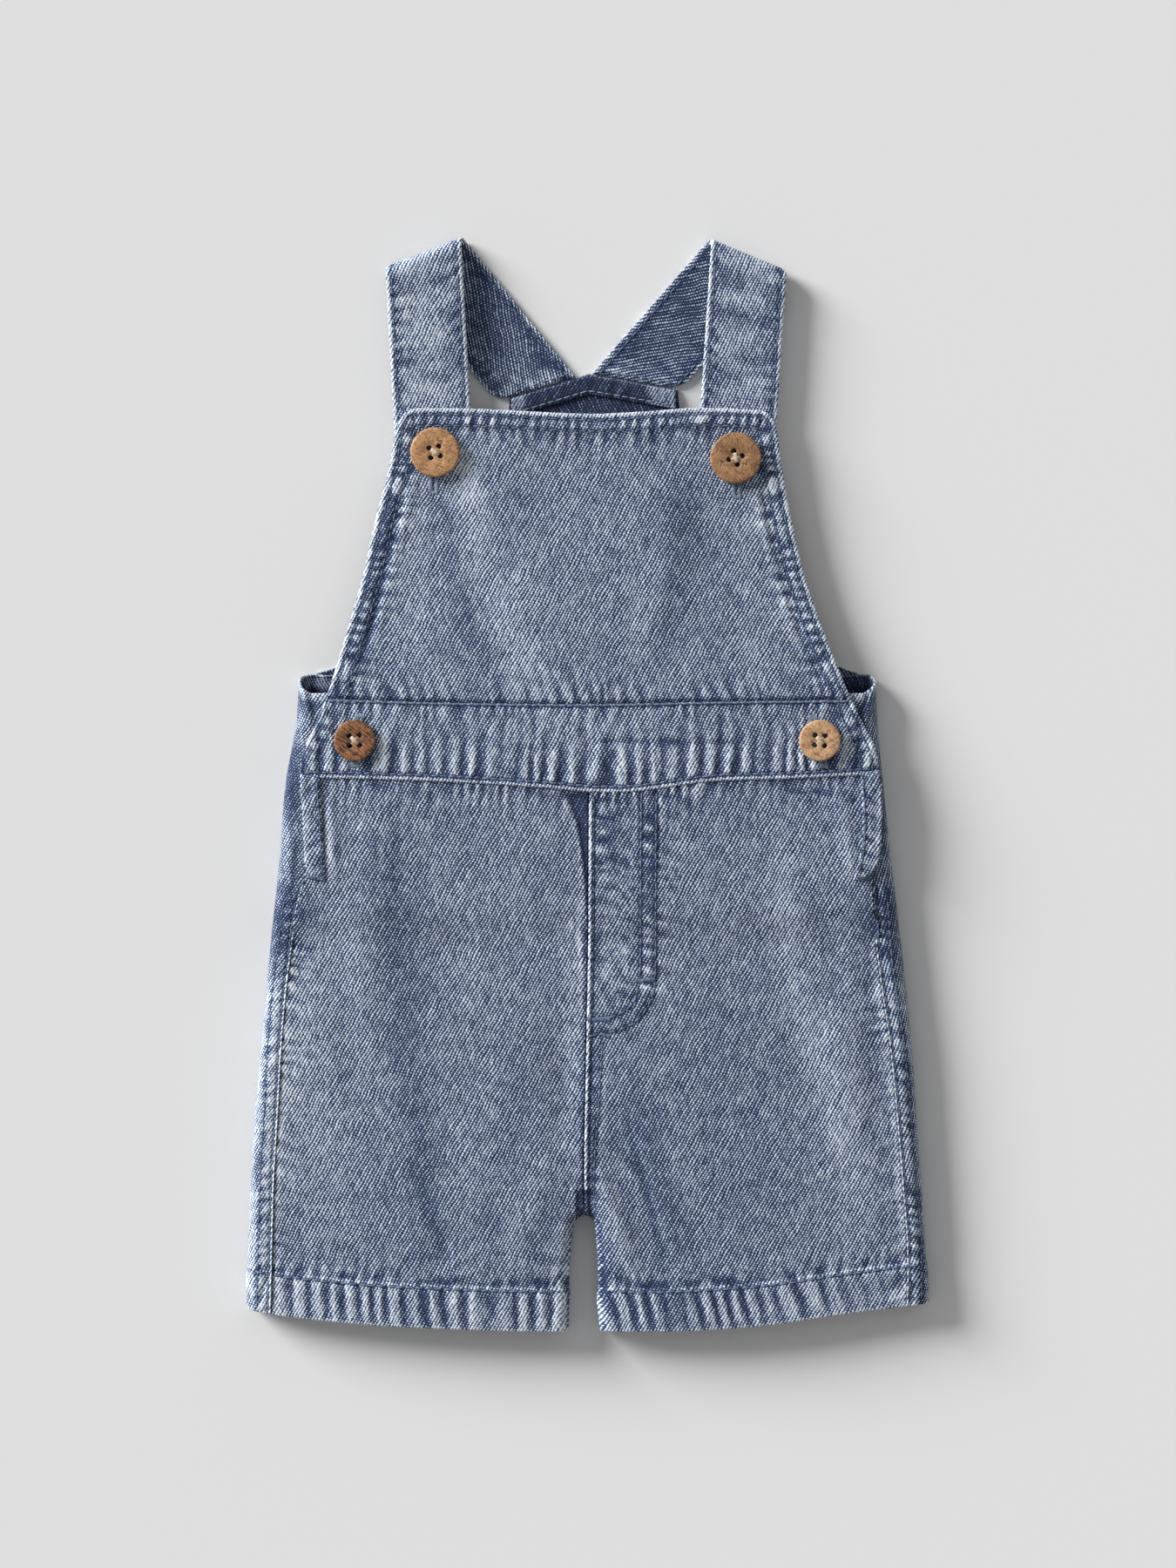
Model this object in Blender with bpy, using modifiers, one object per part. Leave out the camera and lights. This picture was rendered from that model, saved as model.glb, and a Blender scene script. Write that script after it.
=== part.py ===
"""Infant's denim shortalls, laid flat on their back with the front facing up.

The cloth is a set of thin walls: the back lies on the surface and rolls round the sides, the
front lies over it, and the straps fold over at the shoulders. Tables are in millimetres, in the
garment's own frame: +X to the right as seen from above, +Y towards the shoulders, +Z up.
"""

import math

import bmesh
import bpy
from mathutils import Vector

MM = 0.001

# Cloth and seams
CLOTH = 1.2
SEAM_GAP = 0.3
HEM_RISE = 0.8
BAND_RISE = 0.6
FELL_RISE = 0.5
FLY_RISE = 0.5
RISE_RUN = 1.2

# Sides and crotch
SIDE_ROLL = 5.5
CROTCH_ROLL = 4.5
CROTCH_Y = -159.4
CROTCH_HALF = 3.85
LAP = 1.5
LAP_Y = (-60.0, -45.0)
BUTTON_STAND_X = 76.0
STAND_Y = -34.0
FRONT_WAIST_Y = -2.5
HEM_Y = -201.3
BACK_WAIST_Y = 40.0
BACK_WAIST_TOP_DROP = 7.0
LEG_PUFF = 1.2
FELL_WIDTH = 5.0
LEG_HEM = 16.0

# Bib, fly and yoke
BIB_BORDER = 8.0
BIB_CORNER = 5.0
BIB_TOP_Y = 136.6
YOKE_BASE_Y = 125.0
YOKE_CLOTH = 1.4
FACING_CLOTH = 1.0
FACING_WIDTH = 7.0
FLY_WIDTH = 25.0
FLY_TURN_Y = -80.0
FLY_END_Y = -92.0

# Straps
STRAP_WIDTH = 28.4
STRAP_CLOTH = 2.0
FOLD_RADIUS = 2.9
STRAP_TAIL_Y = 108.0

# Facing on each side opening
PLACKET_WIDTH = 7.2
PLACKET_CLOTH = 0.8
PLACKET_END_Y = -35.5

# Silhouette of the body: height in the photo's plane, left edge, right edge
SIDES = (
    (-202.0, -125.5, 125.5),
    (-192.0, -125.4, 125.2),
    (-160.0, -124.8, 123.6),
    (-128.0, -123.2, 121.3),
    (-96.0, -120.0, 119.0),
    (-64.0, -117.4, 115.8),
    (-32.0, -113.9, 112.0),
    (0.0, -111.2, 108.5),
    (22.0, -107.5, 106.6),
    (40.0, -106.5, 105.9),
)

# Outer edge of the front, from the side seam up past the placket to the bib: y, left, right
FRONT_EDGE = (
    (-202.0, -116.2, 116.4),
    (-171.0, -115.5, 116.8),
    (-146.0, -114.8, 115.0),
    (-122.0, -113.4, 113.0),
    (-96.0, -112.0, 110.4),
    (-74.0, -110.1, 107.2),
    (-58.0, -108.0, 105.3),
    (-46.0, -106.4, 104.6),
    (-36.0, -103.8, 104.4),
    (-27.0, -104.0, 107.0),
    (-11.0, -104.8, 107.8),
    (3.0, -105.6, 106.6),
    (11.0, -104.2, 105.3),
    (21.0, -99.5, 100.8),
    (32.0, -95.7, 96.0),
    (57.0, -88.0, 86.1),
    (76.0, -82.6, 79.7),
    (96.0, -78.1, 74.9),
    (115.0, -73.0, 71.4),
    (127.0, -70.9, 69.8),
    (135.0, -68.4, 68.2),
    (140.0, -66.5, 66.5),
)

# Bottom of the legs: x, y
HEM_LINE = (
    (-126.0, -193.2),
    (-110.4, -195.8),
    (-81.6, -198.7),
    (-56.0, -200.0),
    (-28.8, -201.0),
    (-7.0, -201.3),
    (5.0, -201.2),
    (35.2, -201.0),
    (67.2, -198.7),
    (89.0, -195.5),
    (114.2, -192.3),
    (126.0, -191.0),
)

# Waistband: x, lower edge, upper edge
WAISTBAND = (
    (-107.0, 2.6, 31.5),
    (-78.0, 2.1, 30.4),
    (-50.0, 1.0, 29.6),
    (-14.0, -1.2, 29.1),
    (0.0, -2.5, 29.1),
    (16.0, -2.5, 29.3),
    (46.0, 1.3, 30.0),
    (77.0, 2.4, 30.4),
    (107.0, 4.0, 30.8),
)

# Top of the bib: x, y
BIB_TOP = (
    (-70.0, 137.6),
    (-43.0, 137.5),
    (0.0, 135.6),
    (20.0, 136.4),
    (41.0, 137.8),
    (70.0, 136.6),
)

# Gap between the legs: y, left leg's edge, right leg's edge
LEG_GAP = (
    (-202.0, -7.3, 4.9),
    (-192.0, -7.0, 4.0),
    (-176.0, -6.4, 3.4),
    (-163.2, -5.2, 2.6),
)

# Centre front and back seams: y, x
CENTRE_SEAM = (
    (-160.0, -1.3),
    (-141.0, -1.7),
    (-104.0, -1.0),
    (-64.0, -0.2),
    (0.0, 0.2),
    (40.0, 0.2),
)

# Upper face of the body: y, height at the edge, height at the centre
BODY_RISE = (
    (-202.0, 10.2, 11.0),
    (-186.0, 10.6, 11.6),
    (-160.0, 11.0, 12.2),
    (-100.0, 11.0, 12.8),
    (40.0, 11.0, 12.8),
)

# Upper face of the bib: y, height at the edge, height at the centre
BIB_RISE = (
    (28.0, 12.5, 14.3),
    (34.0, 12.4, 14.3),
    (45.0, 11.7, 14.0),
    (70.0, 10.2, 13.2),
    (100.0, 9.4, 11.8),
    (120.0, 9.5, 10.6),
    (140.0, 9.5, 10.0),
)

# Back armholes: y, left edge, right edge
ARMHOLE = (
    (40.0, -101.0, 100.4),
    (43.0, -91.0, 92.0),
    (47.0, -82.5, 84.0),
    (53.0, -73.5, 75.5),
    (62.0, -63.0, 66.0),
    (75.0, -53.0, 56.0),
    (90.0, -44.0, 48.0),
    (107.0, -36.5, 41.0),
    (125.0, -30.5, 35.0),
)

# Top of the yoke, where the straps are sewn on: x, y
YOKE_TOP = ((-28.8, 142.1), (0.3, 150.9), (33.0, 145.2))

# Largest folds in the front: start x, start y, end x, end y, half width, depth
FOLDS = (
    (3.0, -122.0, 28.0, -182.0, 7.0, -1.1),
    (-4.0, -122.0, 14.0, -178.0, 6.0, 0.5),
    (-9.0, -84.0, -8.0, -132.0, 6.0, -0.8),
    (-80.0, -6.0, -82.0, -86.0, 9.0, 0.7),
    (92.0, -78.0, 98.0, -140.0, 9.0, 0.7),
    (-50.0, -160.0, -57.0, -182.0, 5.0, -0.5),
    (-34.0, 92.0, -14.0, 38.0, 12.0, 0.6),
    (40.0, 104.0, 44.0, 70.0, 9.0, -0.6),
)

# Buttons: name, x, y, diameter, thickness, turn of the holes in degrees
BUTTONS = (
    ("button_bib_left", -56.1, 121.3, 18.2, 3.0, 55.0),
    ("button_bib_right", 54.1, 119.2, 18.8, 3.0, 15.0),
    ("button_waist_left", -85.4, 15.6, 15.2, 2.6, 48.0),
    ("button_waist_right", 84.8, 15.6, 15.2, 2.6, 42.0),
)
HOLE_CIRCLE = 2.5
HOLE_RADIUS = 0.95
BUTTON_SIDES = 20
HOLE_SIDES = 8

# Rows of the legs, from the hem up, shared by front and back so that the side seam meets
LEG_ROWS = (
    HEM_Y, -193.0, HEM_Y + LEG_HEM, HEM_Y + LEG_HEM + RISE_RUN, -173.0, -163.2, -161.0, CROTCH_Y, -157.4,
    -154.0, -146.0, -134.0, -122.0, -108.0, -92.0, -76.0, -60.0, -52.0, -45.0, -38.0,
)
FRONT_ROWS = LEG_ROWS + (STAND_Y, -24.0, -13.0, FRONT_WAIST_Y)
BACK_ROWS = LEG_ROWS + (STAND_Y, -22.0, -10.0, 2.0, 14.0, 25.0, 33.0, BACK_WAIST_Y)
BIB_ROWS = (0.0, 0.09, 0.2, 0.33, 0.47, 0.61, 0.74, 0.84)
BACK_BIB_ROWS = (40.0, 43.0, 47.0, 53.0, 62.0, 75.0, 90.0, 107.0, 125.0)

COLOURS = {
    "denim": (0.27, 0.32, 0.43, 1.0),
    "denim_inside": (0.07, 0.09, 0.18, 1.0),
    "coconut": (0.36, 0.20, 0.10, 1.0),
}
ROUGHNESS = {"denim": 0.9, "denim_inside": 0.92, "coconut": 0.5}


def between(low, high, share):
    return low + (high - low) * share


def smooth(share):
    share = min(1.0, max(0.0, share))
    return share * share * (3.0 - 2.0 * share)


def curve(rows, at, column=1):
    """Value of a table's column on the smooth curve through its rows."""
    at = min(rows[-1][0], max(rows[0][0], at))
    last = len(rows) - 2
    i = next((k for k in range(last + 1) if at <= rows[k + 1][0]), last)

    def slope(k):
        low, high = max(0, k - 1), min(len(rows) - 1, k + 1)
        return (rows[high][column] - rows[low][column]) / (rows[high][0] - rows[low][0])

    start, end = rows[i], rows[i + 1]
    span = end[0] - start[0]
    t = (at - start[0]) / span
    return (
        (2 * t**3 - 3 * t**2 + 1) * start[column]
        + (t**3 - 2 * t**2 + t) * span * slope(i)
        + (3 * t**2 - 2 * t**3) * end[column]
        + (t**3 - t**2) * span * slope(i + 1)
    )


def straight(rows, at):
    """Value on the straight lines through a table's rows."""
    i = next((k for k in range(len(rows) - 2) if at <= rows[k + 1][0]), len(rows) - 2)
    (x0, y0), (x1, y1) = rows[i], rows[i + 1]
    return between(y0, y1, (at - x0) / (x1 - x0))


def side_column(side):
    return 1 if side < 0 else 2


def folds(x, y):
    """Height that the large folds add: each a soft ridge or trough along a line, fading at its ends."""
    total = 0.0
    for x0, y0, x1, y1, width, depth in FOLDS:
        length = math.hypot(x1 - x0, y1 - y0)
        along = ((x - x0) * (x1 - x0) + (y - y0) * (y1 - y0)) / length
        across = ((x - x0) * (y1 - y0) - (y - y0) * (x1 - x0)) / length
        ends = smooth(along / length * 3.0 + 0.3) * smooth((1.0 - along / length) * 3.0 + 0.3)
        total += depth * math.exp(-((across / width) ** 2)) * ends
    return total


def body_height(x, y):
    """Upper face of the body at the level of the rolled sides."""
    side = -1 if x < 0 else 1
    half = abs(curve(FRONT_EDGE, y, side_column(side)))
    share = min(1.0, abs(x) / half)
    edge, centre = curve(BODY_RISE, y, 1), curve(BODY_RISE, y, 2)
    legs = smooth((-110.0 - y) / 60.0)
    puff = LEG_PUFF * legs * math.sin(math.pi * share)
    return edge + (centre - edge) * (1.0 - share**2) + puff + folds(x, y) * smooth((1.0 - share) * 8.0)


def lap(y):
    """Rise of the front where it laps over the back's button stand."""
    return LAP * smooth((y - LAP_Y[0]) / (LAP_Y[1] - LAP_Y[0]))


def front_height(x, y):
    return body_height(x, y) + lap(y)


def bib_height(x, y):
    half = abs(curve(FRONT_EDGE, y, side_column(x)))
    share = min(1.0, abs(x) / half)
    edge, centre = curve(BIB_RISE, y, 1), curve(BIB_RISE, y, 2)
    return edge + (centre - edge) * (1.0 - share**2) + folds(x, y) * smooth((1.0 - share) * 6.0)


def gap_edge(side, y):
    """The edge of one leg beside the gap between the legs, and above it the centre seam."""
    if y >= CROTCH_Y:
        return curve(CENTRE_SEAM, y) + side * SEAM_GAP / 2
    centre_y = CROTCH_Y - CROTCH_HALF
    centre_x = curve(CENTRE_SEAM, CROTCH_Y)
    if y > centre_y:
        return centre_x + side * math.sqrt(CROTCH_HALF**2 - (y - centre_y) ** 2) + side * SEAM_GAP / 2
    return curve(LEG_GAP, y, side_column(side)) + side * SEAM_GAP / 2


def gap_distance(side, x, y):
    """Distance in plan from the gap between the legs."""
    centre_y = CROTCH_Y - CROTCH_HALF
    if y > centre_y:
        return math.hypot(x - curve(CENTRE_SEAM, CROTCH_Y), y - centre_y) - CROTCH_HALF
    return side * (x - gap_edge(side, y))


def gap_roll(side, x, y):
    """1 on the flat, falling to 0 where the cloth turns down beside the gap between the legs."""
    inside = min(CROTCH_ROLL, max(0.0, gap_distance(side, x, y)))
    return math.sqrt(max(0.0, 1.0 - ((CROTCH_ROLL - inside) / CROTCH_ROLL) ** 2))


def roll_reach(angle, y):
    """Where a column lies across the roll beside the gap: round it along the legs, even above the crotch."""
    above = smooth((y - CROTCH_Y + CROTCH_HALF) / (2.0 * CROTCH_ROLL))
    return between(1.0 - math.sin(math.radians(angle)), 1.0 - angle / 90.0, above)


def leg_y(x, row, top_line, top_y):
    """Height in plan of a row: even across the middle, and following the hem and the top at the ends."""
    share = (row - HEM_Y) / (top_y - HEM_Y)
    return row + (curve(HEM_LINE, x) - HEM_Y) * (1.0 - share) + (top_line(x) - top_y) * share


def front_leg(side):
    """Points of one front leg's outer face, column by column from the side seam to the centre."""

    def top_line(x):
        return curve(WAISTBAND, x, 1) - SEAM_GAP / 2

    across = [("flat", k / 10) for k in range(11)]
    across.insert(1, ("flat", 0.045))
    if side > 0:
        across = [("flat", s) for s in (0.0, 0.045, 0.12, 0.24, 0.36, 0.48, 0.6, 0.7, 0.77, 0.79, 0.9, 1.0)]
    across += [("roll", 30.0), ("roll", 60.0), ("roll", 90.0)]

    def point(column, row):
        zone, share = across[column]
        y = FRONT_ROWS[row]
        first = curve(FRONT_EDGE, y, side_column(side))
        edge = curve(FRONT_EDGE, leg_y(first, y, top_line, FRONT_WAIST_Y), side_column(side))
        inner = gap_edge(side, y)
        if zone == "flat":
            x = between(edge, inner + side * CROTCH_ROLL, share)
        else:
            x = inner + side * CROTCH_ROLL * roll_reach(share, y)
        y = leg_y(x, y, top_line, FRONT_WAIST_Y)
        half = (front_height(x, y) - SEAM_GAP) / 2
        return Vector((x, y, half + SEAM_GAP + half * gap_roll(side, x, y)))

    return len(across), len(FRONT_ROWS), point


def back_leg(side):
    """Points of one back leg's outer face: from the centre, along the surface, round the side and on top."""
    across = [("roll", 90.0), ("roll", 60.0), ("roll", 30.0)]
    across += [("floor", k / 4) for k in range(5)]
    across += [("side", angle) for angle in (30.0, 60.0, 90.0, 120.0, 150.0, 180.0)]
    across += [("top", 0.35), ("top", 0.7), ("top", 1.0)]

    def point(column, row):
        zone, share = across[column]
        y = BACK_ROWS[row]
        outer = curve(SIDES, leg_y(curve(SIDES, y, side_column(side)), y, flat_waist, BACK_WAIST_Y), side_column(side))
        inner = gap_edge(side, y)
        tangent = outer - side * SIDE_ROLL
        near_top = smooth(y / BACK_WAIST_Y)
        if zone == "roll":
            x = inner + side * CROTCH_ROLL * roll_reach(share, BACK_ROWS[row])
        elif zone == "floor":
            x = between(inner + side * CROTCH_ROLL, tangent, share)
        elif zone == "side":
            x = tangent + side * SIDE_ROLL * math.sin(math.radians(share))
            y = leg_y(x, y, flat_waist, BACK_WAIST_Y)
            y -= BACK_WAIST_TOP_DROP * near_top * smooth(share / 180.0) ** 2
            top = body_height(tangent, y)
            return Vector((x, y, top / 2 * (1.0 - math.cos(math.radians(share)))))
        else:
            y = leg_y(tangent, y, flat_waist, BACK_WAIST_Y) - BACK_WAIST_TOP_DROP * near_top
            seam = curve(FRONT_EDGE, y, side_column(side)) + side * SEAM_GAP
            end = side * BUTTON_STAND_X if BACK_ROWS[row] >= STAND_Y else seam
            x = between(tangent, end, share)
            return Vector((x, y, body_height(x, y)))
        y = leg_y(x, y, flat_waist, BACK_WAIST_Y)
        half = (front_height(x, y) - SEAM_GAP) / 2
        return Vector((x, y, half * (1.0 - gap_roll(side, x, y))))

    return len(across), len(BACK_ROWS), point


def flat_waist(_x):
    return BACK_WAIST_Y


def near_edge(distance, width, rise):
    """Rise of a turned edge: full within its width, then falling to the single cloth."""
    return rise * (1.0 - smooth((distance - width) / RISE_RUN))


def front_leg_relief(side):
    """Rise of the hem, the fly and the felled centre seam above the single cloth."""

    def relief(point):
        x, y = point.x, point.y
        rise = near_edge(y - curve(HEM_LINE, x), LEG_HEM, HEM_RISE)
        if side > 0 and y > FLY_END_Y:
            from_seam = x - gap_edge(side, y)
            turn = max(0.0, FLY_TURN_Y - y) / (FLY_TURN_Y - FLY_END_Y)
            reach = FLY_WIDTH * math.sqrt(max(0.0, 1.0 - turn**2))
            rise = max(rise, near_edge(from_seam, reach - RISE_RUN, FLY_RISE))
        return rise

    return relief


def back_leg_relief(side):
    """Rise of the felled side seam on the part of the back that shows beside the front."""

    def relief(point):
        on_top = smooth((point.z - SIDE_ROLL) / SIDE_ROLL)
        from_seam = abs(point.x) - abs(curve(FRONT_EDGE, point.y, side_column(side)))
        if point.y >= LAP_Y[0]:
            return 0.0
        hem = near_edge(point.y - curve(HEM_LINE, point.x), LEG_HEM, HEM_RISE)
        return max(near_edge(from_seam, FELL_WIDTH, FELL_RISE), hem) * on_top

    return relief


def side_placket(side):
    """The narrow facing on the front's edge at the side opening, tapering to its lower end."""
    steps = 8

    def point(column, row):
        share = row / steps
        edge = curve(FRONT_EDGE, between(PLACKET_END_Y, 0.0, share), side_column(side))
        x = edge - side * PLACKET_WIDTH * between(0.35, 1.0, smooth(share * 4.0)) * column / 2
        top = curve(WAISTBAND, x, 1) - SEAM_GAP
        y = between(PLACKET_END_Y, top, share)
        return Vector((x, y, front_height(x, y) + SEAM_GAP))

    return 3, steps + 1, point


def waistband():
    columns = 20

    def point(column, row):
        share = row / 4
        y = between(FRONT_WAIST_Y + 3.0, 30.0, share)
        left, right = curve(FRONT_EDGE, y, 1), curve(FRONT_EDGE, y, 2)
        x = between(left, right, column / columns)
        low = curve(WAISTBAND, x, 1) + SEAM_GAP / 2
        high = curve(WAISTBAND, x, 2) - SEAM_GAP / 2
        y = between(low, high, share)
        return Vector((x, y, front_height(x, y)))

    return columns + 1, 5, point


def waistband_relief(_point):
    return BAND_RISE


def rounded(inset, drop):
    """Distances from the bib's side and top edge, with its corner rounded off."""
    if inset >= BIB_CORNER or drop >= BIB_CORNER:
        return inset, drop
    across, up = 1.0 - inset / BIB_CORNER, 1.0 - drop / BIB_CORNER
    return (
        BIB_CORNER * (1.0 - across * math.sqrt(1.0 - up**2 / 2.0)),
        BIB_CORNER * (1.0 - up * math.sqrt(1.0 - across**2 / 2.0)),
    )


def bib():
    steps = (0.0, BIB_CORNER / 2.0, BIB_BORDER, BIB_BORDER + RISE_RUN)
    middle = 12
    columns = 2 * len(steps) + middle
    rows = len(BIB_ROWS) + len(steps)

    def point(column, row):
        from_side, from_top = min(column, columns - 1 - column), rows - 1 - row
        inset = steps[from_side] if from_side < len(steps) else steps[-1]
        drop = steps[from_top] if from_top < len(steps) else steps[-1]
        share = BIB_ROWS[row] if row < len(BIB_ROWS) else 1.0
        if max(from_side, from_top) < len(steps):
            inset, drop = rounded(inset, drop)
        nominal = between(31.0, BIB_TOP_Y - drop, share)
        left, right = curve(FRONT_EDGE, nominal, 1) + inset, curve(FRONT_EDGE, nominal, 2) - inset
        x = left if column < columns / 2 else right
        if from_side >= len(steps):
            x = between(left, right, (column - len(steps) + 1) / (middle + 1))
        y = between(curve(WAISTBAND, x, 2) + SEAM_GAP / 2, curve(BIB_TOP, x) - drop, share)
        return Vector((x, y, bib_height(x, y)))

    return columns, rows, point


def bib_relief(point):
    side = curve(FRONT_EDGE, point.y, side_column(point.x))
    distance = min(abs(side) - abs(point.x), curve(BIB_TOP, point.x) - point.y)
    return near_edge(distance, BIB_BORDER, BAND_RISE)


def bib_surface(x, y):
    point = Vector((x, y, 0.0))
    return bib_height(x, y) + bib_relief(point)


def waist_surface(x, y):
    return front_height(x, y) + BAND_RISE


def back_bib():
    columns = 14

    def point(column, row):
        y = BACK_BIB_ROWS[row]
        x = between(curve(ARMHOLE, y, 1), curve(ARMHOLE, y, 2), column / columns)
        if row == 0:
            y += SEAM_GAP
        if row == len(BACK_BIB_ROWS) - 1:
            y -= SEAM_GAP
        return Vector((x, y, 0.0))

    return columns + 1, len(BACK_BIB_ROWS), point


def yoke_x(share, y):
    rise = (y - YOKE_BASE_Y) / (YOKE_TOP[0][1] - YOKE_BASE_Y)
    left = between(curve(ARMHOLE, YOKE_BASE_Y, 1), YOKE_TOP[0][0], min(1.0, rise))
    right = between(curve(ARMHOLE, YOKE_BASE_Y, 2), YOKE_TOP[2][0], min(1.0, rise))
    return between(left, right, share)


def yoke():
    columns, rows = 12, 4

    def point(column, row):
        share = row / rows
        x = yoke_x(column / columns, between(YOKE_BASE_Y, YOKE_TOP[0][1], share))
        return Vector((x, between(YOKE_BASE_Y, straight(YOKE_TOP, x), share), 0.0))

    return columns + 1, rows + 1, point


def yoke_facing():
    columns = 12
    inset = 0.6

    def point(column, row):
        x = between(YOKE_TOP[0][0] + inset, YOKE_TOP[2][0] - inset, column / columns)
        y = straight(YOKE_TOP, x) - inset - FACING_WIDTH * (1 - row)
        return Vector((x, y, YOKE_CLOTH + SEAM_GAP))

    return columns + 1, 2, point


def strap(side, shoulder, slant, lean, tail_x):
    """Middle of a strap: up the front, over a rolled fold along a slanted line, and down to the yoke."""
    along = Vector((math.sin(math.radians(lean)), math.cos(math.radians(lean))))
    across = Vector((along.y, -along.x))
    fold = Vector((math.cos(math.radians(slant)), math.sin(math.radians(slant))))
    over = Vector((-fold.y, fold.x))
    centre = Vector(shoulder)
    tail = Vector((tail_x, STRAP_TAIL_Y))
    turn = math.pi * FOLD_RADIUS
    level = STRAP_CLOTH / 2 + FOLD_RADIUS

    def folded(width, past):
        """A point this far across the strap and this far past the fold line."""
        run = (past - (tail - centre).dot(over) - width * across.dot(over)) / along.dot(over)
        flat = tail + along * run + across * width
        place = centre + fold * (flat - centre).dot(fold)
        if past <= 0.0:
            return flat.x, flat.y, level + FOLD_RADIUS
        if past < turn:
            place += over * FOLD_RADIUS * math.sin(past / FOLD_RADIUS)
            return place.x, place.y, level + FOLD_RADIUS * math.cos(past / FOLD_RADIUS)
        place -= over * (past - turn)
        return place.x, place.y, level - FOLD_RADIUS

    def yoke_end(width):
        """How far past the fold line the strap meets the yoke's sloping top."""
        seam = (Vector(YOKE_TOP[0]), Vector(YOKE_TOP[1])) if side < 0 else (Vector(YOKE_TOP[1]), Vector(YOKE_TOP[2]))
        rise = (seam[1] - seam[0]).normalized()
        normal = Vector((-rise.y, rise.x))
        start, ahead = (Vector(folded(width, turn + step)[:2]) for step in (0.0, 1.0))
        return turn + (SEAM_GAP - normal.dot(start - seam[0])) / normal.dot(ahead - start)

    def tail_end(width):
        start, ahead = (folded(width, -step)[1] for step in (0.0, 1.0))
        return (start - STRAP_TAIL_Y) / (ahead - start)

    front = [k / 9 for k in range(10)]
    round_fold = [k / 8 for k in range(1, 8)]
    back = [k / 8 for k in range(9)]
    rows = [("front", s) for s in front] + [("fold", s) for s in round_fold] + [("back", s) for s in back]
    columns = 5

    def point(column, row):
        width = STRAP_WIDTH * (column / columns - 0.5)
        zone, share = rows[row]
        if zone == "front":
            past = between(tail_end(width), 0.0, share)
        elif zone == "fold":
            past = turn * share
        else:
            past = between(turn, yoke_end(width), share)
        return Vector(folded(width, past))

    return columns + 1, len(rows), point


def material(kind):
    found = bpy.data.materials.new(kind)
    found.use_nodes = True
    shader = found.node_tree.nodes["Principled BSDF"]
    shader.inputs["Base Color"].default_value = COLOURS[kind]
    shader.inputs["Roughness"].default_value = ROUGHNESS[kind]
    shader.inputs["Metallic"].default_value = 0.0
    found.diffuse_color = COLOURS[kind]
    return found


def no_relief(_point):
    return 0.0


def direction(line, k):
    """Direction of a line of points at its point k, true to the curve at the two ends as well."""
    last = len(line) - 1
    if 0 < k < last:
        return line[k + 1] - line[k - 1]
    if last == 1:
        return line[1] - line[0]
    if k == 0:
        return line[1] * 4.0 - line[0] * 3.0 - line[2]
    return line[last] * 3.0 - line[last - 1] * 4.0 + line[last - 2]


def wall(name, shape, facing, above, below, kind, relief=no_relief):
    """A cloth wall: a grid laid on the shape's points, then extruded between its two faces.

    facing is 1 where columns then rows turn the normal outwards, or -1. above and below are the
    distances from the shape to the outer and inner face, and relief adds to the outer one.
    """
    columns, rows, point = shape
    points = [[point(i, j) for j in range(rows)] for i in range(columns)]

    def normal(i, j):
        along_columns = direction([points[k][j] for k in range(columns)], i)
        along_rows = direction(points[i], j)
        return along_columns.cross(along_rows).normalized() * facing

    mesh = bmesh.new()
    bmesh.ops.create_grid(mesh, x_segments=columns - 1, y_segments=rows - 1, size=1.0)
    places = {v: (round((v.co.x + 1) / 2 * (columns - 1)), round((v.co.y + 1) / 2 * (rows - 1))) for v in mesh.verts}
    made = bmesh.ops.extrude_face_region(mesh, geom=mesh.faces[:], use_keep_orig=True)["geom"]
    outer = [v for v in made if isinstance(v, bmesh.types.BMVert)]
    for v in outer:
        i, j = round((v.co.x + 1) / 2 * (columns - 1)), round((v.co.y + 1) / 2 * (rows - 1))
        v.co = (points[i][j] + normal(i, j) * (above + relief(points[i][j]))) * MM
    for v, (i, j) in places.items():
        v.co = (points[i][j] - normal(i, j) * below) * MM
    bmesh.ops.recalc_face_normals(mesh, faces=mesh.faces[:])
    if mesh.calc_volume(signed=True) < 0.0:
        bmesh.ops.reverse_faces(mesh, faces=mesh.faces[:])
    return finish(name, mesh, kind)


def finish(name, mesh, kind):
    data = bpy.data.meshes.new(name)
    mesh.to_mesh(data)
    mesh.free()
    obj = bpy.data.objects.new(name, data)
    data.materials.append(material(kind))
    collections["Shortalls"].objects.link(obj)
    return obj


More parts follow.
